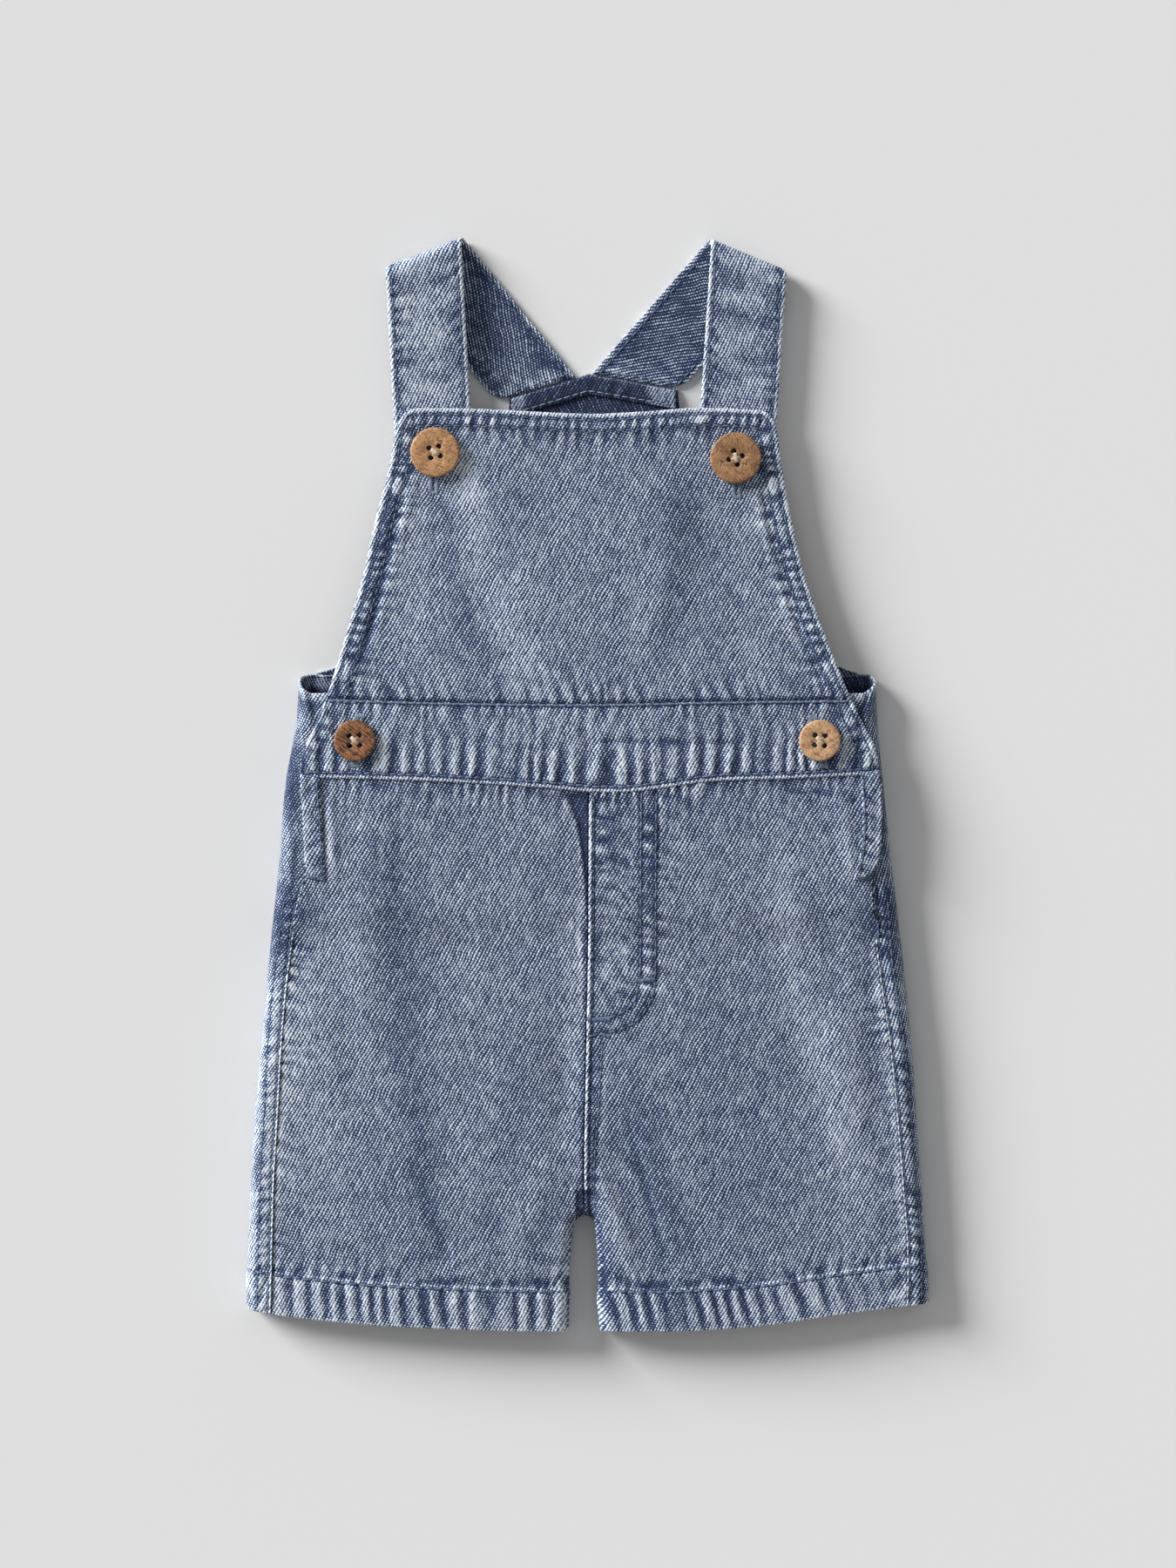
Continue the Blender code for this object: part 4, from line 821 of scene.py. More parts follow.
def backDetail(side, seed, x, y, z, run):
    total = list(unevenness(side * run, y, seed))
    onTop = smooth((z - 3.0) / 4.0)
    fell, hem = seamRows["fellFar"], seamRows["hem"]
    fromSeam = np.abs(x) - np.abs(edgeX(y, x))
    fromHem = y - curveAt(hemLine, x)
    top = onTop * smooth((-37.0 - y) / 2.0)  # the felled seam shows below the placket
    sink(total, fromSeam - seamRows["fellNear"], top)
    sink(total, fromSeam - fell, top)
    blots = smooth(0.1 + patches(x, y, 3.6, seed + 11, 1.3) * 1.8)
    total[1] -= 0.8 * bump(fromSeam - fell + 0.3, 1.4) * blots * top
    total[0] += top * 0.25 * (1.0 - past(fromSeam, fell + 0.6, 1.0))
    pucker(total, "fell", y, fromSeam - 3.2, seed + 6, top)
    total[0] += 0.3 * (turnedDown(fromSeam, 0.4) + bump(fromSeam - 0.5, 0.4)) * top
    total[1] += 1.2 * bump(fromSeam - 0.35, 0.6) * top
    # paler below y -66 where the back shows on top, more on the left: partly worn cloth, partly painted
    # highlight on the side that faces the light
    total[1] += (0.45 - 0.2 * side) * onTop * smooth((-66.0 - y) / 12.0)
    total[1] += onTop * foldsAt(x, y, dyeAndCreaseShadeMarks)
    creased = 0.75 + 0.5 * patches(x, y, 4.0, seed + 7)
    total[1] -= (0.8 - 0.2 * side) * bump(y + 50.0, 13.0) * onTop * creased
    inHem = 1.0 - past(fromHem, hem, 0.8)
    pucker(total, "backHem", side * run, fromHem - 7.0, seed + 8, inHem)
    sink(total, fromHem - hem)
    total[0] += 0.6 * (1.0 - past(fromHem, hem + 0.4, 1.0)) + turnedDown(fromHem, 0.8)
    total[1] += 0.7 * bump(fromHem, 1.0)
    return total


band = {"endX": 97.5, "lap": 0.9, "lift": 0.6, "cordY": 0.75}  # its rolled lower edge laps over the legs


def makeWaistband():
    end = band["endX"]
    share = (spaced(-end, end, 1.05, ((-end, 3.0, 0.4), (end, 3.0, 0.4))) / end)[:, None]
    up = (spaced(0.0, 31.0, 1.0, ((0.0, 3.4, 0.35), (31.0, 2.6, 0.4))) / 31.0)[None, :]
    nominal = 0.5 + 29.5 * up
    x = share * np.where(share < 0, -curveAt(frontEdge, nominal, 1), curveAt(frontEdge, nominal, 2))
    low, high = curveAt(waistSeams, x, 1) - band["lap"], curveAt(waistSeams, x, 2) - seamGap / 2
    y = mix(low, high, up)
    points = np.stack([x, y, frontHeight(x, y) + band["lift"]], axis=2)
    folds = foldsAt(x, y, smallFolds)
    total = list(unevenness(x, y, 180))
    total[0] += folds
    # the colour follows the folds, paler on crests and darker in troughs: painted fold highlight and shade
    total[1] += 0.5 * folds + marksAndPaintedShadeAt(x, y)
    fromLow, fromHigh = y - low, high - y
    fromSide = np.abs(edgeX(nominal + 0.0 * x, x)) - np.abs(x)
    cord = bump(fromLow - band["cordY"], 0.62)
    total[0] += turnedDown(fromLow, 0.8) + 0.35 * cord + turnedDown(fromSide, 0.8)
    total[0] += 0.7 * turnedDown(fromHigh, 0.6)
    total[1] += 0.8 * cord + 0.75 * worn(y, fromSide, 2.2)
    sink(total, fromLow - seamRows["bandLow"], dark=1.6, depth=0.35)
    sink(total, fromHigh - seamRows["bandHigh"], dark=1.5, width=0.7)
    sink(total, fromSide - seamRows["endNear"])
    sink(total, fromSide - seamRows["endFar"])
    pucker(total, "bandLow", x, fromLow - 5.0, 186, past(fromLow, 1.6, 1.2))
    pucker(total, "bandHigh", x, fromHigh, 188)
    pucker(total, "bandEnd", y, fromSide - 4.3, 190)
    total[1] -= 0.6 * bump(fromLow - 5.0, 4.0) * smooth(patches(x, y, 4.0, 192) * 1.5)
    return makeCloth("waistband", points, total, np.stack([x, y], axis=2), 1, "front_waistband",
                     clothThick + 0.7)


bibShape = {"corner": 5.0, "topY": 136.6, "baseY": 31.0, "lap": 1.4}  # its foot passes under the waistband


def bibAway(x, y):  # distance from the bib's side and top edge, round its corners
    corner = bibShape["corner"]
    fromSide, fromTop = np.abs(edgeX(y, x)) - np.abs(x), curveAt(bibTop, x) - y
    rounded = corner - np.hypot(np.maximum(0.0, corner - fromSide), np.maximum(0.0, corner - fromTop))
    near = (fromSide < corner) & (fromTop < corner)
    return np.where(near, rounded, np.minimum(fromSide, fromTop)), fromSide, fromTop


def makeBib():
    corner, lap = bibShape["corner"], bibShape["lap"]
    steps = np.array([0.0, 0.2, 0.5, 0.9, 1.4, 1.9, 2.4, 2.9, 3.5, 4.2, 5.0, 5.6, 6.1, 6.5, 6.9, 7.4, 8.0,
                      8.8, 9.8, 11.0])
    middle, upper = np.linspace(0.0, 1.0, 118)[1:-1], np.linspace(0.0, 1.0, 92)[:-1]
    inset = np.concatenate([steps, np.full(len(middle), steps[-1]), steps[::-1]])[:, None]
    share = np.concatenate([np.zeros(len(steps)), middle, np.ones(len(steps))])[:, None]
    drop = np.concatenate([np.full(len(upper), steps[-1]), steps[::-1]])[None, :]
    rise = np.concatenate([upper, np.ones(len(steps))])[None, :]
    near = (inset < corner) & (drop < corner)
    across, up = 1.0 - inset / corner, 1.0 - drop / corner
    roundInset = corner * (1.0 - across * np.sqrt(1.0 - up**2 / 2.0 * near))
    roundDrop = corner * (1.0 - up * np.sqrt(1.0 - across**2 / 2.0 * near))
    inset, drop = np.where(near, roundInset, inset), np.where(near, roundDrop, drop)
    nominal = mix(bibShape["baseY"] - lap, bibShape["topY"] - drop, rise)
    left, right = curveAt(frontEdge, nominal, 1) + inset, curveAt(frontEdge, nominal, 2) - inset
    x = mix(left, right, share)
    y = mix(curveAt(waistSeams, x, 2) - lap, curveAt(bibTop, x) - drop, rise)
    points = np.stack([x, y, bibHeight(x, y)], axis=2)

    folds = foldsAt(x, y, smallFolds)
    total = list(unevenness(x, y, 220))
    total[0] += folds
    # the colour follows the folds, paler on crests and darker in troughs: painted fold highlight and shade
    total[1] += 0.5 * folds + 0.22 * foldsAt(x, y, largeFolds) + marksAndPaintedShadeAt(x, y)
    away, fromSide, fromTop = bibAway(x, y)
    atSide = fromSide < fromTop
    border(total, away, np.where(atSide, y, x), 226)
    total[1] -= 0.35 * bump(away - 6.5, 5.0) * smooth(patches(x, y, 8.0, 232)) * atSide
    ridge = bump(away - 10.6 - 0.8 * patches(y, x * 0.0, 14.0, 233), 0.9) * atSide
    ridge *= smooth(0.7 + 0.5 * patches(y, x * 0.0, 9.0, 235))
    total[0] += 0.4 * ridge
    total[1] += 0.35 * ridge - 0.3 * bump(away - 8.6, 1.0) * atSide
    fromLow = y - curveAt(waistSeams, x, 2)
    pucker(total, "bibFoot", x, fromLow, 234)
    total[0] -= 0.9 * smooth((0.5 - fromLow) / 1.0)
    # a dark line on the bib at the waistband's upper edge: painted shade in the groove
    total[1] -= 0.9 * bump(fromLow, 1.1)
    thick = clothThick + 0.55 * (1.0 - past(away, 7.0, 1.2))
    return makeCloth("bib", points, total, np.stack([x, y], axis=2), 1, "front_bib",
                     thick)


def seenBelow(points):  # cloth that faces down has its grain mirrored
    return points[..., :2] * np.array([-1.0, 1.0])


yokeShape = {"baseY": 125.0, "thick": 1.2, "facingInset": 0.6, "facingWidth": 7.0, "facingZ": 2.6}


def makeBackBib():
    low, high = body["backTopY"] + 0.2, yokeShape["baseY"] - 0.2
    y = spaced(low, high, 1.5, ((low, 1.2, 0.4), (high, 1.2, 0.4)))[None, :]
    share = spaced(0.0, 1.0, 0.016, ((0.0, 0.05, 0.006), (1.0, 0.05, 0.006)))[:, None]
    left, right = curveAt(armholes, y, 1), curveAt(armholes, y, 2)
    x = mix(left, right, share)
    points = np.stack([x, y + 0.0 * x, floorGap + 0.0 * x], axis=2)
    total = list(unevenness(x, y, 260))
    away = np.minimum(x - left, right - x)
    sink(total, away - seamRows["armNear"])
    sink(total, away - seamRows["armFar"])
    pucker(total, "armhole", y, away - 4.0, 266)
    total[0] = np.minimum(0.0, total[0] * 0.8 - 0.1)
    total[1] += 0.9 * bump(away, 1.2)
    return makeCloth("backBib", points, total, seenBelow(points), -1, "back_bib",
                     1.05)


def yokeTopY(x):
    (x0, y0), (x1, y1), (x2, y2) = yokeTop
    return np.where(x < x1, y1 + (y1 - y0) / (x1 - x0) * (x - x1), y1 + (y2 - y1) / (x2 - x1) * (x - x1))


def makeYoke():
    baseY = yokeShape["baseY"]
    rise = spaced(0.0, 1.0, 0.05, ((1.0, 0.05, 0.015),))[None, :]
    share = spaced(0.0, 1.0, 0.014, ((0.0, 0.03, 0.005), (1.0, 0.03, 0.005)))[:, None]
    left = mix(curveAt(armholes, baseY, 1), yokeTop[0][0], rise)
    right = mix(curveAt(armholes, baseY, 2), yokeTop[2][0], rise)
    x = mix(left, right, share)
    y = mix(baseY, yokeTopY(x), rise)
    points = np.stack([x, y, floorGap + 0.0 * x], axis=2)
    total = list(unevenness(x, y, 290))
    fromTop = yokeTopY(x) - y
    sink(total, fromTop - seamRows["yoke"])
    sink(total, y - baseY - seamRows["yoke"])
    pucker(total, "yoke", x, fromTop, 296)
    total[0] = np.minimum(0.0, total[0] * 0.6 - 0.1)
    total[1] += 0.8 * bump(fromTop, 1.0) - 0.3
    return makeCloth("yoke", points, total, seenBelow(points), -1, "back_yoke",
                     yokeShape["thick"])


def makeFacing():
    inset, width = yokeShape["facingInset"], yokeShape["facingWidth"]
    across = spaced(yokeTop[0][0] + inset, yokeTop[2][0] - inset, 1.0)[:, None]
    down = spaced(0.0, width, 0.8, ((0.0, 1.2, 0.3), (width, 1.2, 0.3)))[None, :]
    x = across + 0.0 * down
    y = yokeTopY(x) - inset - down[:, ::-1]
    fromTop = down[:, ::-1] + 0.0 * x
    fromFoot = width - fromTop
    points = np.stack([x, y, yokeShape["facingZ"] + 0.0 * x], axis=2)
    total = list(unevenness(x, y, 310))
    sink(total, fromFoot - seamRows["facing"])
    total[0] *= 0.4
    pucker(total, "facing", x, fromTop - 4.0, 316)
    total[0] += turnedDown(fromTop, 0.6) + turnedDown(fromFoot, 0.6)
    total[1] += 0.5 * bump(fromFoot, 0.8) + 0.35 * bump(fromTop, 1.0) - 0.45
    total[1] += 1.5 * smooth((np.abs(x + 0.5) - 21.0) / 3.0)  # paler ends beside the straps
    return makeCloth("yokeFacing", points, total, points[..., :2].copy(), 1, "yoke_facing",
                     0.9, (denimInside, denimInside))


strapShape = {"width": 28.4, "cloth": 2.0, "thick": 1.9, "fold": 2.9, "tailY": 108.0, "corner": 5.0,
              "grainLean": -3.1}
strapPlaces = {  # x, y of the fold's middle, the fold's slant and the strap's lean, x of the hidden end
    -1: ((-58.6, 192.1), 21.0, -3.1, -55.8), 1: ((57.0, 191.3), -22.5, 3.8, 53.5),
}


def yokeSide(side):  # the yoke's edge under a strap: its ends, and the directions along it and out of it
    seam = np.array(yokeTop[:2] if side < 0 else yokeTop[1:])
    rise = (seam[1] - seam[0]) / np.linalg.norm(seam[1] - seam[0])
    return seam, rise, np.array([-rise[1], rise[0]])


def strapPoints(side, widths):
    shoulder, slant, lean, tailX = strapPlaces[side]
    fold = np.array([math.cos(math.radians(slant)), math.sin(math.radians(slant))])
    over = np.array([-fold[1], fold[0]])
    ahead = np.array([math.sin(math.radians(lean)), math.cos(math.radians(lean))])
    across = np.array([ahead[1], -ahead[0]])
    centre, tail = np.array(shoulder), np.array([tailX, strapShape["tailY"]])
    radius = strapShape["fold"]
    turn = math.pi * radius
    level = strapShape["cloth"] / 2 + radius

    def folded(width, gone):  # a point this far across the strap and this far past the fold line
        run = (gone - (tail - centre) @ over - width * (across @ over)) / (ahead @ over)
        flat = tail + run[..., None] * ahead + width[..., None] * across
        onFold = centre + ((flat - centre) @ fold)[..., None] * fold
        angle = np.clip(gone, 0.0, turn) / radius
        bent = onFold + (radius * np.sin(angle) - np.maximum(0.0, gone - turn))[..., None] * over
        place = np.where((gone <= 0.0)[..., None], flat, bent)
        return np.concatenate([place, (level + radius * np.cos(angle))[..., None]], axis=-1)

    zero = 0.0 * widths
    first, second = folded(widths, zero)[:, 1], folded(widths, zero - 1.0)[:, 1]
    tailEnd = (first - strapShape["tailY"]) / (second - first)
    seam, _, normal = yokeSide(side)
    first, second = folded(widths, zero + turn)[:, :2], folded(widths, zero + turn + 1.0)[:, :2]
    backEnd = turn + (seamGap - (first - seam[0]) @ normal) / ((second - first) @ normal)
    fromCorner = np.clip(strapShape["width"] / 2 - side * widths, 0.0, strapShape["corner"])
    backEnd = backEnd + turnedDown(fromCorner, strapShape["corner"])
    front = mix(tailEnd[:, None], 0.0, np.linspace(0.0, 1.0, 92)[:-1])
    roll = turn * np.linspace(0.0, 1.0, 15)[:-1] + 0.0 * widths[:, None]
    back = mix(turn, backEnd[:, None], np.linspace(0.0, 1.0, 60))
    gone = np.concatenate([front, roll, back], axis=1)
    return folded(widths[:, None] + 0.0 * gone, gone), gone


def makeStrap(side):
    word = "Left" if side < 0 else "Right"
    seed = 340 if side < 0 else 380
    shoulder, _, lean, _ = strapPlaces[side]
    half = strapShape["width"] / 2
    widths = spaced(-half, half, 0.85, ((-half, 2.6, 0.3), (half, 2.6, 0.3)))
    points, gone = strapPoints(side, widths)
    x = widths[:, None] + 0.0 * gone
    away = half - np.abs(x)
    total = list(unevenness(x, gone, seed))
    sink(total, away - seamRows["strap"])
    total[0] *= 0.5
    uneven = past(away, 1.2, 0.8) * np.where(x < 0, 1.0, 0.9)
    pucker(total, "strap", gone, away - seamRows["strap"], seed + 6, uneven)
    behind = past(gone, 3.0, 3.0)
    total[0] = (total[0] + 0.8 * turnedDown(away, 0.9)) * (1.0 - behind)
    total[1] += worn(gone, away, 1.2) - 0.3 * bump(away - 3.4, 1.4)
    # past the fold the strap is darkened by 0.64: painted shade on its back part
    total[1] += 0.25 * bump(gone - 3.0, 5.0) + 0.3 - 0.06 * side - 0.64 * behind
    marks = foldsAt(points[..., 0], points[..., 1], strapMarksAndCreaseShade)
    total[1] += marks * (0.9 + 0.5 * patches(x, gone, 3.1, 78))
    total[1] -= 0.3 * smooth(patches(x, gone, 7.0, seed + 8, 1.5)) * bump(away - 6.0, 4.0)
    steps = np.linalg.norm(np.diff(points, axis=1), axis=2)
    run = np.concatenate([np.zeros((len(widths), 1)), np.cumsum(steps, axis=1)], axis=1)
    turn = math.radians(lean - strapShape["grainLean"])
    grain = np.stack([x * math.cos(turn) + run * math.sin(turn) + shoulder[0],
                      run * math.cos(turn) - x * math.sin(turn)], axis=2)
    outer = points + gridNormals(points, 1) * strapShape["cloth"] / 2
    return makeCloth("strap" + word, outer, total, grain, 1, "strap_" + word.lower(),
                     strapShape["thick"], (denim, denimUnder))


placket = {"width": 7.2, "lowY": -35.5, "corner": 6.0, "lift": 1.15, "thick": 0.75}


def makePlacket(side):
    word = "Left" if side < 0 else "Right"
    lowY, corner = placket["lowY"], placket["corner"]
    inward = spaced(0.0, 1.0, 0.12, ((0.0, 0.16, 0.05), (1.0, 0.16, 0.06)))[:, None]
    up = spaced(0.0, 1.0, 0.028, ((0.0, 0.03, 0.01),))[None, :]
    rowY = mix(lowY, 0.0, up)
    edge = curveAt(frontEdge, rowY, 1 if side < 0 else 2)
    cut = corner - np.sqrt(corner**2 - (corner - np.clip(rowY - lowY, 0.0, corner)) ** 2)
    reach = placket["width"] - cut
    x = edge - side * (cut + reach * inward)
    y = mix(lowY, curveAt(waistSeams, x, 1) - seamGap, up)
    seed = 20 if side < 0 else 60  # as for the leg below, so that the strip follows its dents
    spacing, wide, slant = puckers["waist"][:3]
    legLift = unevenness(x, y, seed)[0] + foldsAt(x, y, smallFolds)
    legLift += 0.26 * roping(x, curveAt(waistSeams, x, 1) - y, spacing, wide, seed + 14, slant)
    points = np.stack([x, y, frontHeight(x, y) + placket["lift"] + legLift], axis=2)
    fromOuter, fromInner = inward * reach + 0.0 * x, (1.0 - inward) * reach + 0.0 * x
    total = list(unevenness(x, y, seed + 300))
    sink(total, fromInner - seamRows["placket"], depth=0.25)
    total[0] *= 0.3
    pucker(total, "placket", y, fromInner - 2.0, seed + 306)
    total[0] += turnedDown(fromOuter, 0.7) + turnedDown(fromInner, 0.5)
    total[1] += 0.55 * worn(y, fromOuter, 1.9) + 0.3 * bump(fromInner, 0.5)
    return makeCloth("placket" + word, points, total, np.stack([x, y], axis=2), -side,
                     "side_placket_" + word.lower(), placket["thick"], (denim, denim))


cloth = [makeBackLeg(-1), makeBackLeg(1), makeBackBib(), makeYoke(), makeFacing()]
print("back panels made")
cloth += [makeFrontLeg(-1), makeFrontLeg(1), makeWaistband(), makeBib(), makePlacket(-1), makePlacket(1)]
print("front panels made")
cloth += [makeStrap(-1), makeStrap(1)]
print("straps made")


# Sewing: one stitch is modelled, and its copies are joined into one mesh for each panel
def stitchShape():
    bpy.ops.mesh.primitive_cylinder_add(vertices=6, radius=0.5, depth=1.0, rotation=(0.0, math.pi / 2, 0.0))
    made = bpy.context.object
    bpy.ops.object.transform_apply(rotation=True)
    bpy.ops.object.mode_set(mode="EDIT")
    for place in (-0.36, -0.12, 0.12, 0.36):
        bpy.ops.mesh.select_all(action="SELECT")
        bpy.ops.mesh.bisect(plane_co=(place, 0.0, 0.0), plane_no=(1.0, 0.0, 0.0))
    bpy.ops.object.mode_set(mode="OBJECT")
    mesh = made.data
    for v in mesh.vertices:
        end = abs(v.co.x) * 2.0
        v.co.y *= math.sqrt(max(0.0, 1.0 - 0.8 * end**4))
        v.co.z = v.co.z * math.sqrt(max(0.0, 1.0 - 0.7 * end**4)) - 0.5 * end**3
    places = np.array([v.co[:] for v in mesh.vertices])
    faces = [tuple(f.vertices) for f in mesh.polygons]
    bpy.data.objects.remove(made)
    return places, faces


stitchPlaces, stitchFaces = stitchShape()


def treeOf(pieces):
    corners, faces = [], []
    for piece in pieces:
        first = len(corners)
        corners += [v.co.copy() for v in piece.data.vertices]
        faces += [[first + k for k in f.vertices] for f in piece.data.polygons]
    return BVHTree.FromPolygons(corners, faces)


allCloth = treeOf(cloth)


def onCloth(x, y, below=False):  # the cloth's face over or under a place, in mm
    start = Vector((x * mm, y * mm, -0.05 if below else 0.05))
    hit = allCloth.ray_cast(start, Vector((0.0, 0.0, 1.0 if below else -1.0)))
    return (None, None) if hit[0] is None else (np.array(hit[0]) / mm, np.array(hit[1]))


def stitchAt(start, end, width, below=False, rise=0.3):
    first, _ = onCloth(*start, below)
    last, _ = onCloth(*end, below)
    middle, up = onCloth((start[0] + end[0]) / 2, (start[1] + end[1]) / 2, below)
    if first is None or last is None or middle is None or abs(first[2] - last[2]) > 2.5:
        return None
    ahead = last - first
    length = np.linalg.norm(ahead)
    ahead = ahead / length
    up = up - ahead * (up @ ahead)
    up = up / np.linalg.norm(up)
    centre = (first + last + 2.0 * middle) / 4 + up * width * rise
    if below:
        centre[2] = max(centre[2], width * 0.6)  # stays above what the garment lies on
    return centre, ahead, up, length, width


def sewRow(path, pitch=3.5, length=2.75, width=0.5, below=False, seed=1):
    draw = random.Random(seed)
    path = np.array(path)
    run = runAlong(path)
    count = max(1, int(run[-1] / pitch))
    made = []
    for k in range(count):
        at = (k + 0.5) * run[-1] / count + draw.uniform(-0.12, 0.12)
        half = length / 2 * draw.uniform(0.93, 1.06)
        sideways = draw.uniform(-0.07, 0.07)
        start, end = [(np.interp(at + s, run, path[:, 0]) + sideways, np.interp(at + s, run, path[:, 1]))
                      for s in (-half, half)]
        made.append(stitchAt(start, end, width * draw.uniform(0.9, 1.1), below))
    return made


def sewAcross(path, reach, pitch, width, seed, rise=0.45):  # dense bar or edge stitches
    draw = random.Random(seed)
    path = np.array(path)
    run = runAlong(path)
    made = []
    for at in np.arange(pitch / 2, run[-1], pitch):
        x, y = np.interp(at, run, path[:, 0]), np.interp(at, run, path[:, 1])
        dx = np.interp(at + 0.2, run, path[:, 0]) - np.interp(at - 0.2, run, path[:, 0])
        dy = np.interp(at + 0.2, run, path[:, 1]) - np.interp(at - 0.2, run, path[:, 1])
        size = math.hypot(dx, dy)
        ax, ay = -dy / size * reach / 2, dx / size * reach / 2
        lean = draw.uniform(-0.12, 0.12)
        start, end = (x - ax + lean, y - ay), (x + ax - lean, y + ay)
        made.append(stitchAt(start, end, width * draw.uniform(0.9, 1.15), rise=rise))
    return made


def sewn(name, stitches, thread=blueThread):
    stitches = [s for s in stitches if s is not None]
    corners, faces = [], []
    for centre, ahead, up, length, width in stitches:
        axes = np.array([ahead * length, np.cross(up, ahead) * width, up * width])
        first = len(corners)
        corners += [tuple(p) for p in (centre + stitchPlaces @ axes) * mm]
        faces += [tuple(first + k for k in f) for f in stitchFaces]
    data = bpy.data.meshes.new(name)
    data.from_pydata(corners, [], faces)
    piece = bpy.data.objects.new(name, data)
    bpy.context.collection.objects.link(piece)
    data.materials.append(thread)
    finishPiece(piece, None)
    print(name, len(stitches), "stitches")


def acrossLine(table, column, fromX, toX, away):
    xs = np.arange(fromX, toX, 1.2)
    return np.stack([xs, curveAt(table, xs, column) + away], axis=1)


def upLine(table, column, fromY, toY, away):
    ys = np.arange(fromY, toY, 1.0)
    return np.stack([curveAt(table, ys, column) + away, ys], axis=1)


def edgeLine(side, away, fromY, toY, table=frontEdge):
    return upLine(table, 1 if side < 0 else 2, fromY, toY, -side * away)


def bibRow(away):
    corner = max(0.2, bibShape["corner"] - away)
    endY = bibShape["topY"] - away - corner
    left, right = edgeLine(-1, away, 31.5, endY), edgeLine(1, away, 31.5, endY)
    turn = np.radians(np.linspace(0.0, 90.0, 7))
    fromX, toX = left[-1][0] + corner, right[-1][0] - corner
    xs = np.arange(fromX + 1.0, toX - 1.0, 1.5)
    back = turn[::-1]
    return np.concatenate([
        left, np.stack([fromX - corner * np.cos(turn), left[-1][1] + corner * np.sin(turn)], axis=1),
        np.stack([xs, curveAt(bibTop, xs) - away], axis=1),
        np.stack([toX + corner * np.cos(back), right[-1][1] + corner * np.sin(back)], axis=1), right[::-1]])


sewn("stitchesBib", sewRow(bibRow(seamRows["edge"]), seed=3) + sewRow(bibRow(seamRows["inner"]), seed=4))
bandRows = (  # column of waistSeams, from x, to x, above it, spacing, length, width, seed
    (1, -104.0, 104.5, seamRows["bandLow"] - band["lap"], 3.1, 2.9, 0.78, 5),
    (2, -94.5, 96.0, -0.75, 2.6, 3.1, 0.8, 6), (2, -92.8, -84.0, -1.35, 2.4, 2.2, 0.7, 7),
)
bandStitches = []
for column, fromX, toX, away, pitch, length, width, seed in bandRows:
    bandStitches += sewRow(acrossLine(waistSeams, column, fromX, toX, away), pitch, length, width, seed=seed)
for side in (-1, 1):
    for away in (seamRows["endNear"], seamRows["endFar"]):
        bandStitches += sewRow(edgeLine(side, away, 3.8, 28.4), seed=8)
sewn("stitchesWaistband", bandStitches)

hemEnds = {"inner": 11.0, "front": 122.0, "back": 112.0}
armholeRowY = body["backTopY"] - seamRows["armTop"]
for side, word in ((-1, "Left"), (1, "Right")):
    fromX, toX = sorted((side * hemEnds["front"], side * hemEnds["inner"]))
    legStitches = sewRow(acrossLine(hemLine, 1, fromX, toX, seamRows["hem"]), 3.4, 3.1, 0.75, seed=9)
    for away in (seamRows["fellNear"], seamRows["fellFar"]):
        legStitches += sewRow(edgeLine(side, -away, -193.0, -42.0), seed=10)
    if side > 0:
        for line in flyLines.values():
            legStitches += sewRow(along(line, 0.8), width=0.62, seed=11)
        legStitches += sewRow(upLine(centreSeam, 1, -86.0, -4.0, seamRows["flyEdge"]), seed=12)
        belowFly = upLine(centreSeam, 1, -156.0, fly["seamTop"], 0.0)
        belowFly[:, 0] += inseamRow(belowFly[:, 1])
        legStitches += sewRow(belowFly, seed=13)
    sewn("stitchesLeg" + word, legStitches)

    fromX, toX = sorted((side * hemEnds["back"], side * hemEnds["inner"]))
    under = sewRow(acrossLine(hemLine, 1, fromX, toX, seamRows["hem"]), below=True, seed=14)
    for away in (1.2, 6.0) if side > 0 else ():
        under += sewRow(upLine(centreSeam, 1, -154.0, 38.0, away), below=True, seed=15)
    under += sewRow([(side * 3.0, armholeRowY), (side * 98.0, armholeRowY)], below=True, seed=16)
    sewn("stitchesBack" + word, under)

    placketLine = edgeLine(side, placket["width"] - seamRows["placket"], -33.0, 0.5)
    sewn("stitchesPlacket" + word, sewRow(placketLine, 3.0, 2.5, seed=17))

armStitches = []
for side in (-1, 1):
    for away in (seamRows["armNear"], seamRows["armFar"]):
        armStitches += sewRow(edgeLine(side, away, 44.0, 124.0, armholes), below=True, seed=18)
sewn("stitchesBackBib", armStitches)
xs = np.arange(-27.0, 31.0, 1.2)
facingFoot = yokeTopY(xs) - yokeShape["facingInset"] - yokeShape["facingWidth"]
yokeStitches = sewRow(np.stack([xs, facingFoot + seamRows["facing"]], axis=1), 3.0, 2.5, 0.5, seed=19)
yokeStitches += sewRow(np.stack([xs, yokeTopY(xs) - seamRows["yoke"]], axis=1), below=True, seed=20)
sewn("stitchesYoke", yokeStitches, paleThread)

for side, word in ((-1, "Left"), (1, "Right")):
    rowAt = strapShape["width"] / 2 - seamRows["strap"]
    lines, gone = strapPoints(side, np.array([-rowAt, rowAt]))
    strapStitches = []
    for line, beyond in zip(lines, gone):
        front = line[(beyond < -0.5) & (line[:, 1] > 139.0)]
        back = line[(beyond > 12.0) & (np.abs(line[:, 0]) < 40.0)]
        strapStitches += sewRow(front[:, :2], seed=21) + sewRow(back[:, :2], seed=21)
    seam, rise, outward = yokeSide(side)
    ends = [seam[0] + rise * 2.0 + outward * 1.9, seam[1] - rise * 1.5 + outward * 1.9]
    strapStitches += sewRow(ends, 3.0, 2.5, seed=26)
    sewn("stitchesStrap" + word, strapStitches)

